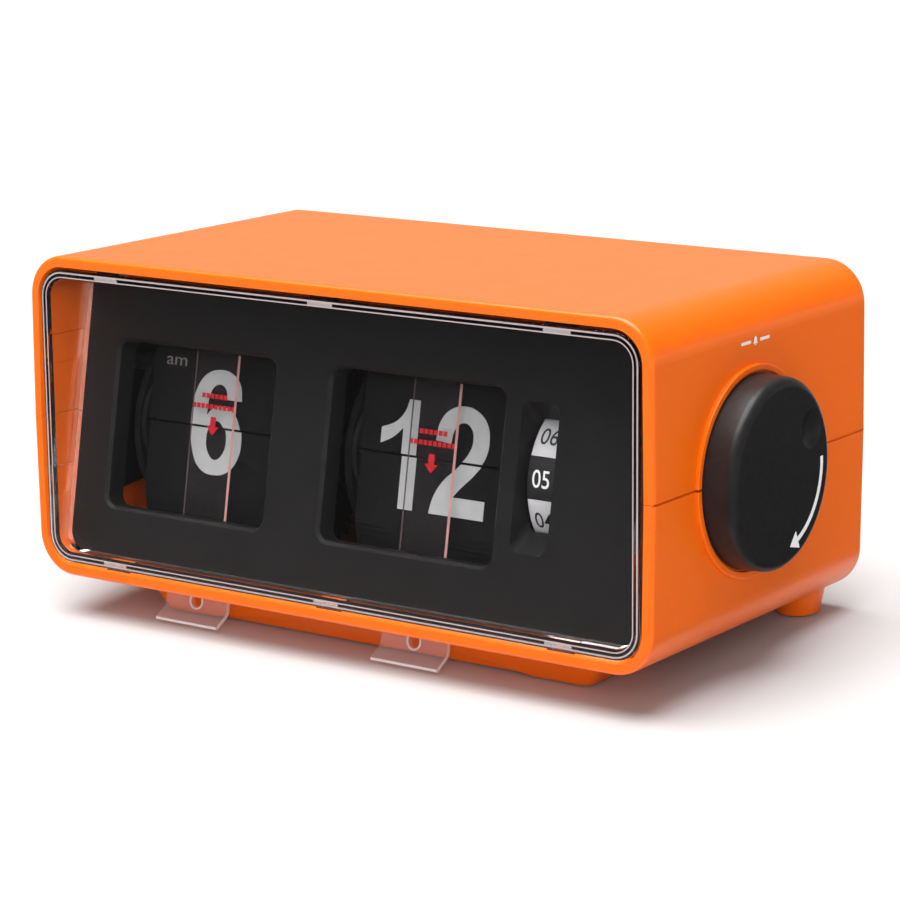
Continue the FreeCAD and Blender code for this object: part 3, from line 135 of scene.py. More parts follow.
# Back of the case, in the case frame, seen from behind.
BACK_Y = 97.0
DOOR_Y = 96.7
SWITCH_BELL_AT = (-52.0, 63.6)
SWITCH_DOT_AT = (-64.0, 64.4)
SWITCH_DOT_R = 0.6
RIB_Z = (20.5, 21.9, 23.3)
RIB_HALF = 6.0
RIB_TALL = 0.5

# Upper side walls of the case lean in as they rise.
WALL_X = 90.0
WALL_FOOT_Z = 39.5
WALL_DRAFT = 0.5 / 40.5

# Studio: suns (name, strength, direction of the light), and cards on the floor (X and Y range) in metres.
LAMPS = (("key", 6.2, (0.1, 0.12, -0.98)), ("fill", 1.95, (-0.5, 0.8, -0.33)))
LAMP_DEG = 60.0
CARDS = (((-0.9, 0.9), (-1.1, -0.06)), ((0.1, 0.9), (-0.05, 1.1)))
BRIGHT_PATCH = (-0.58, 0.81, 0.1)  # direction of the bright patch in the surroundings

# Camera: place in the case frame, then yaw, pitch and roll in degrees, and its lens.
CAMERA_AT = (436.4, -560.7, 196.8)
CAMERA_TURN = (35.507, 12.379, -0.621)
CAMERA_LENS = 125.85

# Figures: outlines one unit tall, corners "v" and smooth points "a".
SIX_OUTER = [
    (0.595, 0.725, "v"), (0.56, 0.885, "a"), (0.455, 0.975, "a"), (0.325, 1.0, "a"), (0.15, 0.945, "a"),
    (0.04, 0.79, "a"), (0.0, 0.5, "a"), (0.035, 0.2, "a"), (0.14, 0.045, "a"), (0.31, 0.0, "a"),
    (0.49, 0.055, "a"), (0.59, 0.19, "a"), (0.615, 0.335, "a"), (0.575, 0.52, "a"), (0.48, 0.625, "a"),
    (0.36, 0.655, "a"), (0.265, 0.635, "a"), (0.185, 0.56, "v"), (0.205, 0.74, "a"), (0.25, 0.83, "a"),
    (0.32, 0.86, "a"), (0.39, 0.825, "a"), (0.42, 0.725, "v"),
]
SIX_HOLE = [
    (0.31, 0.515, "a"), (0.395, 0.46, "a"), (0.43, 0.335, "a"), (0.395, 0.205, "a"), (0.31, 0.145, "a"),
    (0.225, 0.205, "a"), (0.19, 0.335, "a"), (0.225, 0.46, "a"),
]
ONE = [
    (0.0, 0.575, "v"), (0.0, 0.72, "v"), (0.16, 0.79, "a"), (0.25, 0.895, "a"), (0.285, 1.0, "v"),
    (0.405, 1.0, "v"), (0.405, 0.0, "v"), (0.24, 0.0, "v"), (0.24, 0.735, "v"), (0.14, 0.645, "a"),
]
TWO = [
    (0.0, 0.0, "v"), (0.6, 0.0, "v"), (0.6, 0.175, "v"), (0.25, 0.175, "v"), (0.33, 0.265, "a"),
    (0.475, 0.41, "a"), (0.58, 0.565, "a"), (0.605, 0.715, "a"), (0.565, 0.87, "a"), (0.46, 0.965, "a"),
    (0.32, 1.0, "a"), (0.165, 0.96, "a"), (0.06, 0.845, "a"), (0.025, 0.665, "v"), (0.195, 0.65, "v"),
    (0.225, 0.785, "a"), (0.315, 0.85, "a"), (0.4, 0.81, "a"), (0.43, 0.71, "a"), (0.4, 0.595, "a"),
    (0.28, 0.45, "a"), (0.12, 0.295, "a"), (0.035, 0.145, "a"),
]
THREE = [
    (0.0, 0.29, "v"), (0.17, 0.275, "v"), (0.2, 0.185, "a"), (0.3, 0.145, "a"), (0.4, 0.185, "a"),
    (0.435, 0.29, "a"), (0.395, 0.4, "a"), (0.29, 0.44, "a"), (0.22, 0.44, "v"), (0.22, 0.57, "v"),
    (0.29, 0.57, "a"), (0.375, 0.61, "a"), (0.41, 0.71, "a"), (0.38, 0.815, "a"), (0.3, 0.855, "a"),
    (0.215, 0.82, "a"), (0.185, 0.72, "v"), (0.02, 0.735, "v"), (0.07, 0.89, "a"), (0.17, 0.975, "a"),
    (0.3, 1.0, "a"), (0.475, 0.955, "a"), (0.565, 0.86, "a"), (0.58, 0.73, "a"), (0.54, 0.6, "a"),
    (0.455, 0.52, "v"), (0.57, 0.42, "a"), (0.61, 0.28, "a"), (0.555, 0.115, "a"), (0.44, 0.025, "a"),
    (0.3, 0.0, "a"), (0.13, 0.04, "a"), (0.03, 0.14, "a"),
]
FIGURES = {"1": [ONE], "2": [TWO], "3": [THREE], "6": [SIX_OUTER, SIX_HOLE]}


# ---- materials ----

def shader(name):
    """A new material with only its Principled shader and output."""
    material = bpy.data.materials.new(name)
    material.use_nodes = True
    return material, material.node_tree.nodes, material.node_tree.links, \
        material.node_tree.nodes["Principled BSDF"]


def cloud(nodes, links, scale, detail=3.0):
    """Noise in object space, so that it sticks to the piece."""
    place = nodes.new("ShaderNodeTexCoord")
    noise = nodes.new("ShaderNodeTexNoise")
    noise.inputs["Scale"].default_value = scale
    noise.inputs["Detail"].default_value = detail
    links.new(place.outputs["Object"], noise.inputs["Vector"])
    return noise.outputs["Fac"]


def spread(nodes, links, source, low, high):
    """Maps a noise value to a range."""
    ranged = nodes.new("ShaderNodeMapRange")
    ranged.inputs["From Min"].default_value = 0.3
    ranged.inputs["From Max"].default_value = 0.7
    ranged.inputs["To Min"].default_value = low
    ranged.inputs["To Max"].default_value = high
    links.new(source, ranged.inputs["Value"])
    return ranged.outputs["Result"]


def two_tone(nodes, links, source, first, second):
    """Colour between two close tones."""
    ramp = nodes.new("ShaderNodeValToRGB")
    ramp.color_ramp.elements[0].position = 0.3
    ramp.color_ramp.elements[0].color = (*first, 1)
    ramp.color_ramp.elements[1].position = 0.7
    ramp.color_ramp.elements[1].color = (*second, 1)
    links.new(source, ramp.inputs["Fac"])
    return ramp.outputs["Color"]


def surface(name, first, second, rough, grain=900.0, bump=0.02, metal=0.0, shine=0.5):
    """Moulded, printed or metal surface with a slight mottle in its colour, gloss and relief."""
    material, nodes, links, body = shader(name)
    links.new(two_tone(nodes, links, cloud(nodes, links, grain / 3), first, second),
              body.inputs["Base Color"])
    links.new(spread(nodes, links, cloud(nodes, links, grain / 2), rough[0], rough[1]),
              body.inputs["Roughness"])
    body.inputs["Metallic"].default_value = metal
    body.inputs["Specular IOR Level"].default_value = shine
    if bump > 0:
        relief = nodes.new("ShaderNodeBump")
        relief.inputs["Strength"].default_value = bump
        relief.inputs["Distance"].default_value = 0.0002
        links.new(cloud(nodes, links, grain * 4), relief.inputs["Height"])
        links.new(relief.outputs["Normal"], body.inputs["Normal"])
    return material


def glowing(material, share, reach, colours):
    """Lets light soak into a moulded plastic, red further than the other colours."""
    body = material.node_tree.nodes["Principled BSDF"]
    body.inputs["Subsurface Weight"].default_value = share
    body.inputs["Subsurface Scale"].default_value = reach
    body.inputs["Subsurface Radius"].default_value = colours
    return material


def clear(name, tint, rough, bend):
    """Thick clear plastic that lets the lamps through to what is behind it."""
    material, nodes, links, body = shader(name)
    body.inputs["Base Color"].default_value = (*tint, 1)
    body.inputs["Transmission Weight"].default_value = 1.0
    body.inputs["IOR"].default_value = bend
    links.new(spread(nodes, links, cloud(nodes, links, 60.0), rough[0], rough[1]),
              body.inputs["Roughness"])
    path = nodes.new("ShaderNodeLightPath")
    through = nodes.new("ShaderNodeBsdfTransparent")
    through.inputs["Color"].default_value = (*tint, 1)
    either = nodes.new("ShaderNodeMixShader")
    links.new(path.outputs["Is Shadow Ray"], either.inputs["Fac"])
    links.new(body.outputs["BSDF"], either.inputs[1])
    links.new(through.outputs["BSDF"], either.inputs[2])
    links.new(either.outputs["Shader"], nodes["Material Output"].inputs["Surface"])
    return material


def film(name, tone, share, rough):
    """Thin see-through plastic of which only a share of the surface shows; the same pale film is used for the
    painted highlights on the edges of the clear parts.
    """
    material, nodes, links, body = shader(name)
    links.new(two_tone(nodes, links, cloud(nodes, links, 90.0), tone, [0.96 * part for part in tone]),
              body.inputs["Base Color"])
    body.inputs["Roughness"].default_value = rough
    through = nodes.new("ShaderNodeBsdfTransparent")
    either = nodes.new("ShaderNodeMixShader")
    either.inputs["Fac"].default_value = share
    links.new(through.outputs["BSDF"], either.inputs[1])
    links.new(body.outputs["BSDF"], either.inputs[2])
    links.new(either.outputs["Shader"], nodes["Material Output"].inputs["Surface"])
    return material


def make_materials():
    """Materials by the record's slot names, and a few for printed marks."""
    orange = ((0.83, 0.135, 0.0012), (0.84, 0.138, 0.0014))
    soak = (1.0, 0.22, 0.05)
    black = ((0.009, 0.0085, 0.0085), (0.011, 0.0105, 0.0105))
    acetal = ((0.74, 0.72, 0.66), (0.8, 0.78, 0.72))
    steel = ((0.5, 0.5, 0.52), (0.6, 0.6, 0.62))
    return {
        "case_orange": glowing(surface("case_orange", *orange, (0.285, 0.31), 240, 0.0), 0.3, 0.002, soak),
        "door_orange": glowing(surface("door_orange", *orange, (0.285, 0.31), 240, 0.0), 0.3, 0.002, soak),
        "clear_front": clear("clear_front", (0.98, 0.98, 0.98), (0.0, 0.02), 1.45),
        "strip_clear": film("strip_clear", (0.9, 0.84, 0.84), 0.12, 0.15),
        # Pale film drawn as a painted highlight on the edges and the eye ring of the pull tabs.
        "tab_highlight": film("tab_highlight", (0.92, 0.88, 0.88), 0.6, 0.3),
        # Pale films drawn as painted highlights on the edges and pads of the clear front.
        "lens_highlight": film("lens_highlight", (0.8, 0.66, 0.66), 0.38, 0.3),
        "pad_glint": film("pad_glint", (0.85, 0.72, 0.72), 0.25, 0.3),
        "film_clear": film("film_clear", (0.5, 0.4, 0.4), 0.008, 0.15),
        "dial_black": surface("dial_black", *black, (0.42, 0.5), 300, 0.0, shine=0.18),
        "rubber_black": surface("rubber_black", (0.02, 0.02, 0.02), (0.03, 0.03, 0.03), (0.8, 0.9)),
        "screw_steel": surface("screw_steel", *steel, (0.3, 0.4), 900, 0.03, metal=1.0),
        "frame_black": surface("frame_black", *black, (0.35, 0.5), 1100, 0.04, shine=0.3),
        "bright_steel": surface("bright_steel", *steel, (0.2, 0.3), 900, 0.02, metal=1.0),
        "spring_brass": surface("spring_brass", (0.7, 0.6, 0.4), (0.75, 0.65, 0.45), (0.25, 0.35),
                                metal=1.0),
        "leaf_black": surface("leaf_black", (0.0065, 0.0065, 0.007), (0.008, 0.008, 0.0085), (0.4, 0.5),
                              300, 0.0, shine=0.15),
        "drum_black": surface("drum_black", *black, (0.4, 0.5), shine=0.3),
        "gear_white": surface("gear_white", *acetal, (0.4, 0.5)),
        "spindle_white": surface("spindle_white", *acetal, (0.4, 0.5)),
        "knob_black": surface("knob_black", (0.013, 0.012, 0.012), (0.017, 0.016, 0.016), (0.33, 0.42),
                              1600, 0.03, shine=0.3),
        "alarm_drum_white": surface("alarm_drum_white", (0.52, 0.51, 0.53), (0.58, 0.57, 0.59),
                                    (0.45, 0.55)),
        "motor_case": surface("motor_case", *steel, (0.35, 0.45), metal=1.0),
        "board_green": surface("board_green", (0.03, 0.16, 0.06), (0.04, 0.2, 0.08), (0.3, 0.4)),
        "component_black": surface("component_black", *black, (0.4, 0.6)),
        "switch_black": surface("switch_black", *black, (0.35, 0.45)),
        "tray_black": surface("tray_black", *black, (0.5, 0.6)),
        "cell_label": surface("cell_label", (0.05, 0.05, 0.06), (0.07, 0.07, 0.085), (0.25, 0.35)),
        "ink_pale": surface("ink_pale", (0.36, 0.365, 0.365), (0.4, 0.405, 0.405), (0.5, 0.6)),
        "ink_white": surface("ink_white", (0.74, 0.74, 0.74), (0.78, 0.78, 0.78), (0.5, 0.6)),
        "ink_dim": surface("ink_dim", (0.16, 0.15, 0.15), (0.2, 0.19, 0.19), (0.5, 0.6)),
        "ink_black": surface("ink_black", (0.01, 0.01, 0.01), (0.014, 0.014, 0.014), (0.45, 0.55)),
        "ink_red": surface("ink_red", (0.42, 0.004, 0.01), (0.5, 0.006, 0.014), (0.5, 0.6)),
        # Painted highlight (pink) and painted shade (dark) on the cut edges of the strip film.
        "edge_highlight_pink": surface("edge_highlight_pink", (0.42, 0.2, 0.19), (0.5, 0.25, 0.24), (0.3, 0.4)),
        "edge_shade_dark": surface("edge_shade_dark", (0.07, 0.045, 0.045), (0.09, 0.06, 0.06), (0.3, 0.4)),
        "floor": surface("floor", (0.53, 0.53, 0.53), (0.54, 0.54, 0.54), (0.8, 0.9), 20, 0.0, shine=0.0),
    }


MATERIALS = make_materials()


def dress_cad_nodes():
    """Every CAD node gets the material of its slot in the record."""
    for subpart in frame["record"]["subparts"]:
        node = frame["nodes"][subpart["node"]]
        material = MATERIALS[subpart["material_slot"]]
        node.data.materials.clear()
        node.data.materials.append(material)
    for name in ("hour_strip_film", "minute_strip_film"):
        frame["nodes"][name].data.materials[0] = MATERIALS["film_clear"]


# ---- drawing helpers ----

def as_piece(name, mesh, matrix, material, body):
    """Turns a mesh in millimetres into a piece that rides on a body."""
    mesh.transform(matrix)
    if matrix.determinant() < 0:
        mesh.flip_normals()
    piece = bpy.data.objects.new(name, mesh)
    bpy.context.scene.collection.objects.link(piece)
    mesh.materials.clear()
    mesh.materials.append(MATERIALS[material])
    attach(piece, body)
    return piece


def curve_to_mesh(curve, name):
    """Mesh of a filled curve or a text, taken off the curve object."""
    holder = bpy.data.objects.new(name, curve)
    bpy.context.scene.collection.objects.link(holder)
    bpy.context.view_layer.update()
    graph = bpy.context.evaluated_depsgraph_get()
    mesh = bpy.data.meshes.new_from_object(holder.evaluated_get(graph))
    bpy.data.objects.remove(holder)
    bpy.data.curves.remove(curve)
    mesh.name = name
    weld = bmesh.new()
    weld.from_mesh(mesh)
    bmesh.ops.remove_doubles(weld, verts=weld.verts, dist=1e-5)
    weld.to_mesh(mesh)
    weld.free()
    return mesh


def drawing(name, outlines, size=1.0, shift=(0.0, 0.0), thick=INK):
    """Thin solid in XY from outlines of (x, y, kind), standing on Z = 0."""
    curve = bpy.data.curves.new(name, "CURVE")
    curve.dimensions = "2D"
    curve.fill_mode = "BOTH"
    curve.resolution_u = 8
    curve.extrude = thick / 2
    for outline in outlines:
        spline = curve.splines.new("BEZIER")
        spline.bezier_points.add(len(outline) - 1)
        spline.use_cyclic_u = True
        for point, (x, y, kind) in zip(spline.bezier_points, outline):
            point.co = (shift[0] + x * size, shift[1] + y * size, 0)
            handle = "VECTOR" if kind == "v" else "AUTO"
            point.handle_left_type = handle
            point.handle_right_type = handle
    mesh = curve_to_mesh(curve, name)
    mesh.transform(Matrix.Translation((0, 0, thick / 2)))
    return mesh


def lettering(name, text, size, width=1.0, bolder=0.0, thick=INK):
    """Plain text as a thin solid in XY, centred on its own middle."""
    curve = bpy.data.curves.new(name, "FONT")
    curve.body = text
    curve.size = size
    curve.align_x = "CENTER"
    curve.offset = bolder
    curve.extrude = thick / 2
    curve.resolution_u = 5
    mesh = curve_to_mesh(curve, name)
    mesh.transform(Matrix.Diagonal((width, 1, 1, 1)) @ Matrix.Translation((0, 0, thick / 2)))
    return mesh


def box_points(x, y):
    """Outline of a rectangle."""
    return [(x[0], y[0], "v"), (x[1], y[0], "v"), (x[1], y[1], "v"), (x[0], y[1], "v")]


def rounded_points(x, y, radius):
    """Outline of a rectangle with round corners."""
    points = []
    corners = ((x[1] - radius, y[0] + radius, -90), (x[1] - radius, y[1] - radius, 0),
               (x[0] + radius, y[1] - radius, 90), (x[0] + radius, y[0] + radius, 180))
    for middle_x, middle_y, start in corners:
        for step in range(9):
            turn = math.radians(start + 11.25 * step)
            points.append((middle_x + radius * math.cos(turn), middle_y + radius * math.sin(turn), "v"))
    return points


def keep_side(mesh, y, above):
    """Cuts a drawing at a height and keeps one side of it, closed."""
    half = bmesh.new()
    half.from_mesh(mesh)
    geometry = half.verts[:] + half.edges[:] + half.faces[:]
    cut = bmesh.ops.bisect_plane(half, geom=geometry, plane_co=(0, y, 0), plane_no=(0, 1, 0),
                                 clear_inner=above, clear_outer=not above)
    edges = [item for item in cut["geom_cut"] if isinstance(item, bmesh.types.BMEdge)]
    bmesh.ops.holes_fill(half, edges=edges)
    half.to_mesh(mesh)
    half.free()
    return mesh


def joined(name, meshes):
    """One mesh from several."""
    together = bmesh.new()
    for mesh in meshes:
        together.from_mesh(mesh)
        bpy.data.meshes.remove(mesh)
    result = bpy.data.meshes.new(name)
    together.to_mesh(result)
    together.free()
    return result


# ---- leaves ----

def figures(name, text, left, foot):
    """A row of large figures, their left edges at the given places."""
    meshes = [drawing(name, FIGURES[figure], FIGURE_TALL, (x, foot)) for figure, x in zip(text, left)]
    return joined(name, meshes)


def on_leaf(w):
    """Places a drawing on the front of a leaf whose face is at a depth behind the dial."""
    return DIAL @ Matrix.Translation((0, w, 0)) @ FACING


def on_fallen_leaf():
    """Places a drawing on the back of the upright leaf, so that it reads once the leaf has fallen."""
    axis = Matrix.Translation((0, LEAF_W, LEAF_AXIS_V))
    turned = axis @ Matrix.Rotation(math.radians(180), 4, "X") @ axis.inverted()
    return DIAL @ turned @ Matrix.Translation((0, LEAF_W - LEAF_HALF, 0)) @ FACING


def leaf_figures(label, body, now, after, left, foot):
    """Figures split over the front leaves, and those that show when the leaf has fallen."""
    front = on_leaf(LEAF_W - LEAF_HALF)
    upper = keep_side(figures(label, now, left, foot), UPPER_CUT, True)
    as_piece(label + "_figures_upper", upper, front, "ink_pale", body)
    lower = keep_side(figures(label, now, left, foot), LOWER_CUT, False)
    as_piece(label + "_figures_lower", lower, on_leaf(LOWER_LEAF_W - LEAF_HALF), "ink_pale", "case")
    following = keep_side(figures(label, after, left, foot), NEXT_CUT, True)
    as_piece(label + "_next_upper", following, on_leaf(NEXT_LEAF_W - LEAF_HALF), "ink_pale", "case")
    back = keep_side(figures(label, after, left, foot), LOWER_CUT, False)
    as_piece(label + "_next_lower", back, on_fallen_leaf(), "ink_pale", body)


def half_day_mark():
    """Small half-day mark at the top of the hour leaves."""
    for name, w, body in (("am_mark", LEAF_W, "hour_leaf"), ("am_mark_next", NEXT_LEAF_W, "case")):
        mesh = lettering(name, "am", 4.4, 1.32)
        mesh.transform(Matrix.Translation((*HALF_DAY_AT, 0)))
        as_piece(name, mesh, on_leaf(w - LEAF_HALF), "ink_dim", body)


# ---- transit strips ----

def strip_marks(label, middle, raised, body):
    """Two rows of red dashes and an arrow that points to the pull tab."""
    rows = []
    for wide, count, v in DASH_ROWS:
        pitch = wide / count
        across = (v + raised, v + raised + DASH_TALL)
        for number in range(count):
            left = middle - wide / 2 + number * pitch
            rows.append(drawing("dash", [box_points((left, left + pitch * DASH_SHARE), across)]))
    tail, neck, tip = [level + raised for level in ARROW_V]
    shaft, head = ARROW_HALF
    arrow = [(middle - shaft, tail, "v"), (middle - shaft, neck, "v"), (middle - head, neck, "v"),
             (middle, tip, "v"), (middle + head, neck, "v"), (middle + shaft, neck, "v"),
             (middle + shaft, tail, "v")]
    rows.append(drawing("arrow", [arrow]))
    as_piece(label + "_strip_marks", joined("marks", rows), on_leaf(FILM_FRONT_W), "ink_red", body)


def strip_edge_light(label, edges, body):
    """Painted highlight on the right cut edge of the film and painted shade on the left one, as the right
    edge catches the light more than the left.
    """
    sides = ((edges[0], 0.4, "edge_shade_dark", "left"), (edges[1] - 0.7, 0.7, "edge_highlight_pink", "right"))
    for x, wide, ink_and_painted_light, side in sides:
        line = drawing("edge", [box_points((x, x + wide), FILM_V)], thick=0.03)
        as_piece(label + "_film_edge_light_" + side, line, on_leaf(FILM_FRONT_W), ink_and_painted_light, body)


def strip_eye(label, middle, body):
    """Raised ring round the hole of the pull tab, coloured with the pale painted highlight of the tab edges.
    """
    bpy.ops.mesh.primitive_torus_add(major_radius=EYE_R, minor_radius=EYE_ROUND, major_segments=48,
                                     minor_segments=12)
    ring = bpy.context.object
    mesh = ring.data.copy()
    bpy.data.objects.remove(ring)
    mesh.shade_smooth()
    place = DIAL @ Matrix.Translation((middle, EYE_W, EYE_V)) @ FACING
    as_piece(label + "_tab_eye", mesh, place, "tab_highlight", body)


def tab_highlights(label, edges, body):
    """Painted highlights: pale film drawn on the right end and the lower lip of the clear pull tab, where
    they catch the light.
    """
    sideways = Matrix(((0, 0, 1, 0), (1, 0, 0, 0), (0, 1, 0, 0), (0, 0, 0, 1)))
    right = DIAL @ Matrix.Translation((edges[1] + TAB_MARGIN, 0, 0)) @ sideways
    as_piece(label + "_tab_end_highlight", drawing("end", [TAB_PROFILE]), right, "tab_highlight", body)
    lip = box_points((edges[0] - TAB_MARGIN, edges[1] + TAB_MARGIN), TAB_LIP_V)
    as_piece(label + "_tab_lip_highlight", drawing("lip", [lip]), on_leaf(TAB_LIP_W), "tab_highlight", body)


# ---- clear front ----

def lens_highlights():
    """Painted highlights: pale rings drawn on the front and inner edges of the clear front, and painted
    glints on its small pads, where they catch the light.
    """
    front = STAND @ Matrix.Translation((0, LENS_FRONT, 0)) @ FACING
    for name, inset, wide in LENS_HIGHLIGHT_RINGS:
        rings = []
        for away in (inset, inset + wide):
            rings.append(rounded_points((-LENS_X + away, LENS_X - away),
                                        (LENS_Z[0] + away, LENS_Z[1] - away), LENS_R - away))
        as_piece(name, drawing(name, rings), front, "lens_highlight", "case")
    pads = []
    for x in LENS_PAD_X:
        across = (x - LENS_PAD_HALF, x + LENS_PAD_HALF)
        for low in (LENS_Z[0] + LENS_PAD_INSET, LENS_Z[1] - LENS_PAD_INSET - LENS_PAD_TALL):
            pads.append(drawing("pad", [box_points(across, (low, low + LENS_PAD_TALL))]))
    as_piece("lens_pad_glints", joined("pads", pads), front, "pad_glint", "case")


# ---- alarm drum ----

def wrap(mesh, angle):
    """Bends a drawing in XY round the alarm drum, its middle at an angle above the front."""
    sliced = bmesh.new()
    sliced.from_mesh(mesh)
    low = min(vertex.co.y for vertex in sliced.verts)
    high = max(vertex.co.y for vertex in sliced.verts)
    steps = max(2, int((high - low) / 0.5))
    for step in range(1, steps):
        level = low + (high - low) * step / steps
        geometry = sliced.verts[:] + sliced.edges[:] + sliced.faces[:]
        bmesh.ops.bisect_plane(sliced, geom=geometry, plane_co=(0, level, 0), plane_no=(0, 1, 0))
    for vertex in sliced.verts:
        turn = math.radians(angle) + vertex.co.y / DRUM_R
        radius = DRUM_R + vertex.co.z
        vertex.co = (vertex.co.x, DRUM_Y - radius * math.cos(turn), DRUM_Z + radius * math.sin(turn))
    sliced.to_mesh(mesh)
    sliced.free()
    return mesh


def alarm_hours():
    """Twelve fields round the drum, black and white in turn, with their hours."""
    span = math.radians(HOUR_STEP) * DRUM_R / 2
    for hour in range(1, 13):
        angle = FIVE_AT + HOUR_STEP * (hour - 5)
        odd = hour % 2
        lift = INK if odd else 0.0
        if odd:
            field = drawing("field", [box_points(DRUM_X, (-span, span))])
            as_piece("alarm_field_%02d" % hour, wrap(field, angle), STAND, "ink_black", "alarm_works")
        number = lettering("hour", "%02d" % hour, HOUR_SIZE, HOUR_WIDTH, 0.02)
        number.transform(Matrix.Translation((*HOUR_AT, lift)))
        ink_and_painted_light = "ink_white" if odd else "ink_black"
        as_piece("alarm_hour_%02d" % hour, wrap(number, angle), STAND, ink_and_painted_light, "alarm_works")


# ---- knobs and labels ----

def arc_arrow(radius, start, end, wide):
    """Curved arrow outline in XY, angles in degrees, its head at the end."""
    turn = 1 if end > start else -1
    neck = end - turn * ARROW_HEAD_DEG
    count = 16
    spots = [start + (neck - start) * k / count for k in range(count + 1)]
    outer = [((radius + wide / 2) * math.cos(math.radians(a)),
              (radius + wide / 2) * math.sin(math.radians(a)), "v") for a in spots]
    inner = [((radius - wide / 2) * math.cos(math.radians(a)),
              (radius - wide / 2) * math.sin(math.radians(a)), "v") for a in reversed(spots)]
    head = []
    for distance, angle in ((radius + ARROW_HEAD, neck), (radius, end), (radius - ARROW_HEAD, neck)):
        head.append((distance * math.cos(math.radians(angle)), distance * math.sin(math.radians(angle)),
                     "v"))
    return outer + head + inner


def on_side(side, x, y, z):
    """Places a drawing on a side of the case, upright and facing outwards."""
    turn = Matrix.Rotation(math.radians(90 * side), 4, "Z")
    return STAND @ Matrix.Translation((side * x, y, z)) @ turn @ FACING


def on_wall(side, y, z):
    """Places a drawing on the leaning upper side wall of the case."""
    draft = math.atan(WALL_DRAFT)
    x = WALL_X - WALL_DRAFT * (z - WALL_FOOT_Z)
    return on_side(side, x, y, z) @ Matrix.Rotation(-draft, 4, "X")


def knob_arrows():
    """Printed arrow on each knob, showing the way to turn it."""
    for side, name, body in ((1, "alarm_knob_arrow", "alarm_set"), (-1, "time_knob_arrow", "time_set")):
        start, end = (4, -79) if side > 0 else (176, 259)
        arrow = drawing(name, [arc_arrow(ARROW_R, start, end, ARROW_WIDE)], thick=0.03)
        as_piece(name, arrow, on_side(side, KNOB_FACE, KNOB_Y, KNOB_Z), "ink_white", body)


def bell():
    """Outlines of a small bell, two units tall."""
    dome = [(-0.95, 0.35, "v"), (-0.6, 0.6, "a"), (-0.5, 1.2, "a"), (0.0, 1.75, "a"), (0.5, 1.2, "a"),
            (0.6, 0.6, "a"), (0.95, 0.35, "v")]
    clapper = [(-0.28, 0.2, "v"), (0.0, -0.05, "a"), (0.28, 0.2, "v")]
    return [dome, clapper]


def side_labels():
    """Bell and arrows beside the alarm knob, a small clock face beside the time knob."""
    label = drawing("alarm_knob_label", bell() + [
        box_points((-5.2, -1.7), (0.6, 1.2)), box_points((1.7, 5.2), (0.6, 1.2))], 1.2, thick=0.015)
    as_piece("alarm_knob_label", label, on_wall(1, *ALARM_LABEL_AT), "ink_white", "case")
    ring = [(math.cos(math.radians(a)), math.sin(math.radians(a)), "a") for a in range(0, 360, 45)]
    hole = [(x * 0.8, y * 0.8, kind) for x, y, kind in ring]
    hands = [(-0.09, -0.09, "v"), (0.5, -0.09, "v"), (0.5, 0.09, "v"), (0.09, 0.09, "v"), (0.09, 0.62, "v"),
             (-0.09, 0.62, "v")]
    face = drawing("time_knob_label", [ring, hole, hands], 1.2, thick=0.015)
    as_piece("time_knob_label", face, on_wall(-1, *TIME_LABEL_AT), "ink_white", "case")


def on_back(y):
    """Places a drawing on the back of the case, upright and facing backwards."""
    return STAND @ Matrix.Rotation(math.radians(180), 4, "Z") @ Matrix.Translation((0, -y, 0)) @ FACING


def rear_labels():
    """Marks for the alarm switch and finger ribs on the battery door."""
    marks = [[(x + SWITCH_BELL_AT[0], y + SWITCH_BELL_AT[1], kind) for x, y, kind in outline]
             for outline in bell()]
    turns = [math.radians(a) for a in range(0, 360, 45)]
    dot = [(SWITCH_DOT_AT[0] + SWITCH_DOT_R * math.cos(a), SWITCH_DOT_AT[1] + SWITCH_DOT_R * math.sin(a), "a")
           for a in turns]
    as_piece("alarm_switch_marks", drawing("marks", marks + [dot], thick=0.015), on_back(BACK_Y),
             "ink_white", "case")
    ribs = [drawing("rib", [box_points((-RIB_HALF, RIB_HALF), (z, z + RIB_TALL))], thick=0.25)
            for z in RIB_Z]
    as_piece("battery_door_ribs", joined("ribs", ribs), on_back(DOOR_Y), "door_orange", "door")


# ---- studio ----

def floor():
    """Large pale floor that meets the background."""
    mesh = bpy.data.meshes.new("studio_floor")
    half = 6.0
    corners = [(-half, -half, 0), (half, -half, 0), (half, half, 0), (-half, half, 0)]
    mesh.from_pydata(corners, [], [(0, 1, 2, 3)])
    mesh.materials.append(MATERIALS["floor"])
    piece = bpy.data.objects.new("studio_floor", mesh)
    bpy.context.scene.collection.objects.link(piece)


def world():
    """Dim white surroundings with a bright patch low behind the clock's left."""
    surroundings = bpy.data.worlds.new("studio")
    surroundings.use_nodes = True
    nodes = surroundings.node_tree.nodes
    links = surroundings.node_tree.links
    place = nodes.new("ShaderNodeTexCoord")
    towards = nodes.new("ShaderNodeVectorMath")
    towards.operation = "DOT_PRODUCT"
    towards.inputs[1].default_value = BRIGHT_PATCH
    links.new(place.outputs["Generated"], towards.inputs[0])
    level = nodes.new("ShaderNodeMapRange")
    level.inputs["From Min"].default_value = 0.55
    level.inputs["From Max"].default_value = 1.0
    level.inputs["To Min"].default_value = 0.07
    level.inputs["To Max"].default_value = 0.42
    links.new(towards.outputs["Value"], level.inputs["Value"])
    nodes["Background"].inputs["Color"].default_value = (1, 1, 1, 1)
    links.new(level.outputs["Result"], nodes["Background"].inputs["Strength"])
    bpy.context.scene.world = surroundings


def lamps():
    """Broad soft key light from above and a weaker one from the front right that leaves no glare."""
    for name, energy, ahead in LAMPS:
        data = bpy.data.lights.new(name, "SUN")
        data.energy = energy
        data.angle = math.radians(LAMP_DEG)
        light = bpy.data.objects.new(name, data)
        light.rotation_euler = Vector(ahead).to_track_quat("-Z", "Y").to_euler()
        light.visible_glossy = name == "key"
        bpy.context.scene.collection.objects.link(light)


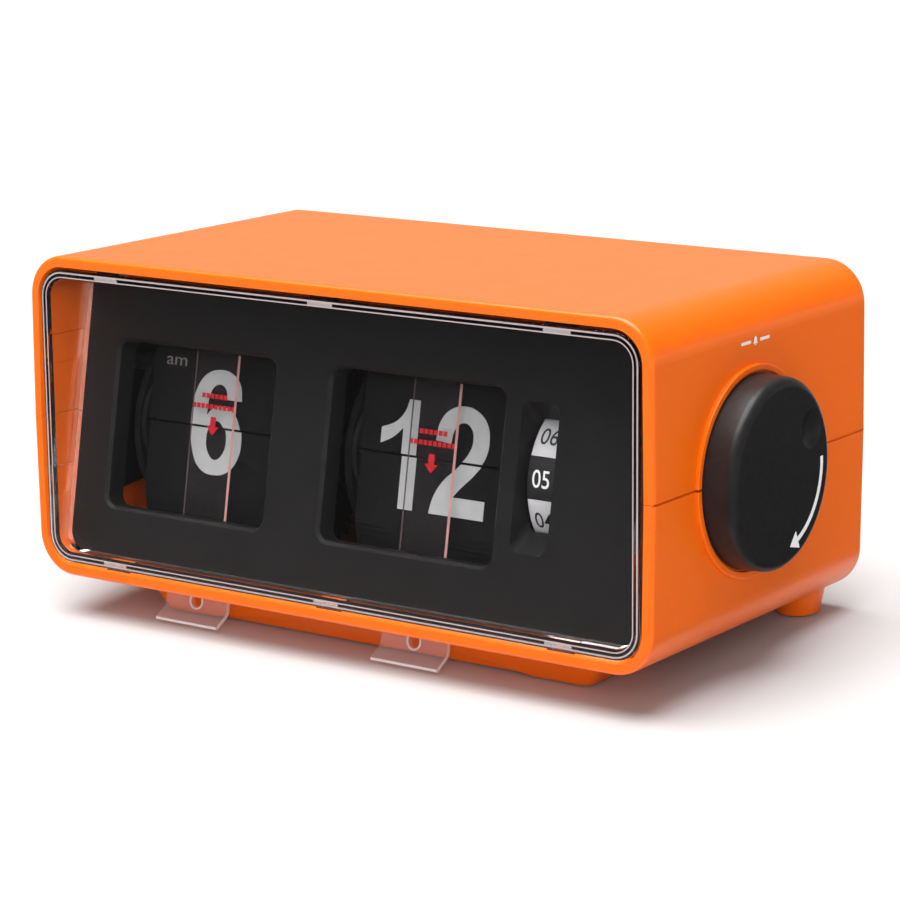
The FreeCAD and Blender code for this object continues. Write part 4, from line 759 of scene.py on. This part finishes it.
def dark_cards():
    """Dark cards on the floor, seen only in reflections: they keep the gloss free of glare."""
    for number, (x, y) in enumerate(CARDS):
        mesh = bpy.data.meshes.new("studio_card_%d" % number)
        corners = [(x[0], y[0], 0.002), (x[1], y[0], 0.002), (x[1], y[1], 0.002), (x[0], y[1], 0.002)]
        mesh.from_pydata(corners, [], [(0, 1, 2, 3)])
        mesh.materials.append(MATERIALS["frame_black"])
        piece = bpy.data.objects.new("studio_card_%d" % number, mesh)
        bpy.context.scene.collection.objects.link(piece)
        piece.visible_camera = False
        piece.visible_diffuse = False
        piece.visible_shadow = False


def camera():
    """Long lens from the front right and a little above, placed in the case frame."""
    yaw, pitch, roll = [math.radians(angle) for angle in CAMERA_TURN]
    ahead = Vector((-math.sin(yaw) * math.cos(pitch), math.cos(yaw) * math.cos(pitch), -math.sin(pitch)))
    right = Vector((math.cos(yaw), math.sin(yaw), 0))
    up = right.cross(ahead)
    right_rolled = right * math.cos(roll) + up * math.sin(roll)
    up_rolled = up * math.cos(roll) - right * math.sin(roll)
    lean = Matrix.Rotation(-LEAN, 3, "X")
    turn = Matrix((right_rolled, up_rolled, -ahead)).transposed()
    matrix = (lean @ turn).to_4x4()
    matrix.translation = STAND @ Vector(CAMERA_AT)
    data = bpy.data.cameras.new("camera")
    data.lens = CAMERA_LENS
    data.sensor_width = 36.0
    data.clip_start = 0.01
    view = bpy.data.objects.new("camera", data)
    view.matrix_world = matrix
    bpy.context.scene.collection.objects.link(view)
    bpy.context.scene.camera = view


dress_cad_nodes()
leaf_figures("hour", "hour_leaf", "6", "6", HOUR_LEFT, HOUR_FOOT)
leaf_figures("minute", "minute_leaf", "12", "13", MINUTE_LEFT, MINUTE_FOOT)
half_day_mark()
for strip, strip_x, raised, strip_body in (("hour", (-55.3, -41.6), 1.6, "hour_strip"),
                                           ("minute", (10.7, 24.4), 0.2, "minute_strip")):
    strip_marks(strip, sum(strip_x) / 2, raised, strip_body)
    strip_edge_light(strip, strip_x, strip_body)
    strip_eye(strip, sum(strip_x) / 2, strip_body)
    tab_highlights(strip, strip_x, strip_body)
lens_highlights()
alarm_hours()
knob_arrows()
side_labels()
rear_labels()
floor()
world()
lamps()
dark_cards()
camera()
bpy.context.scene.view_settings.view_transform = "Standard"
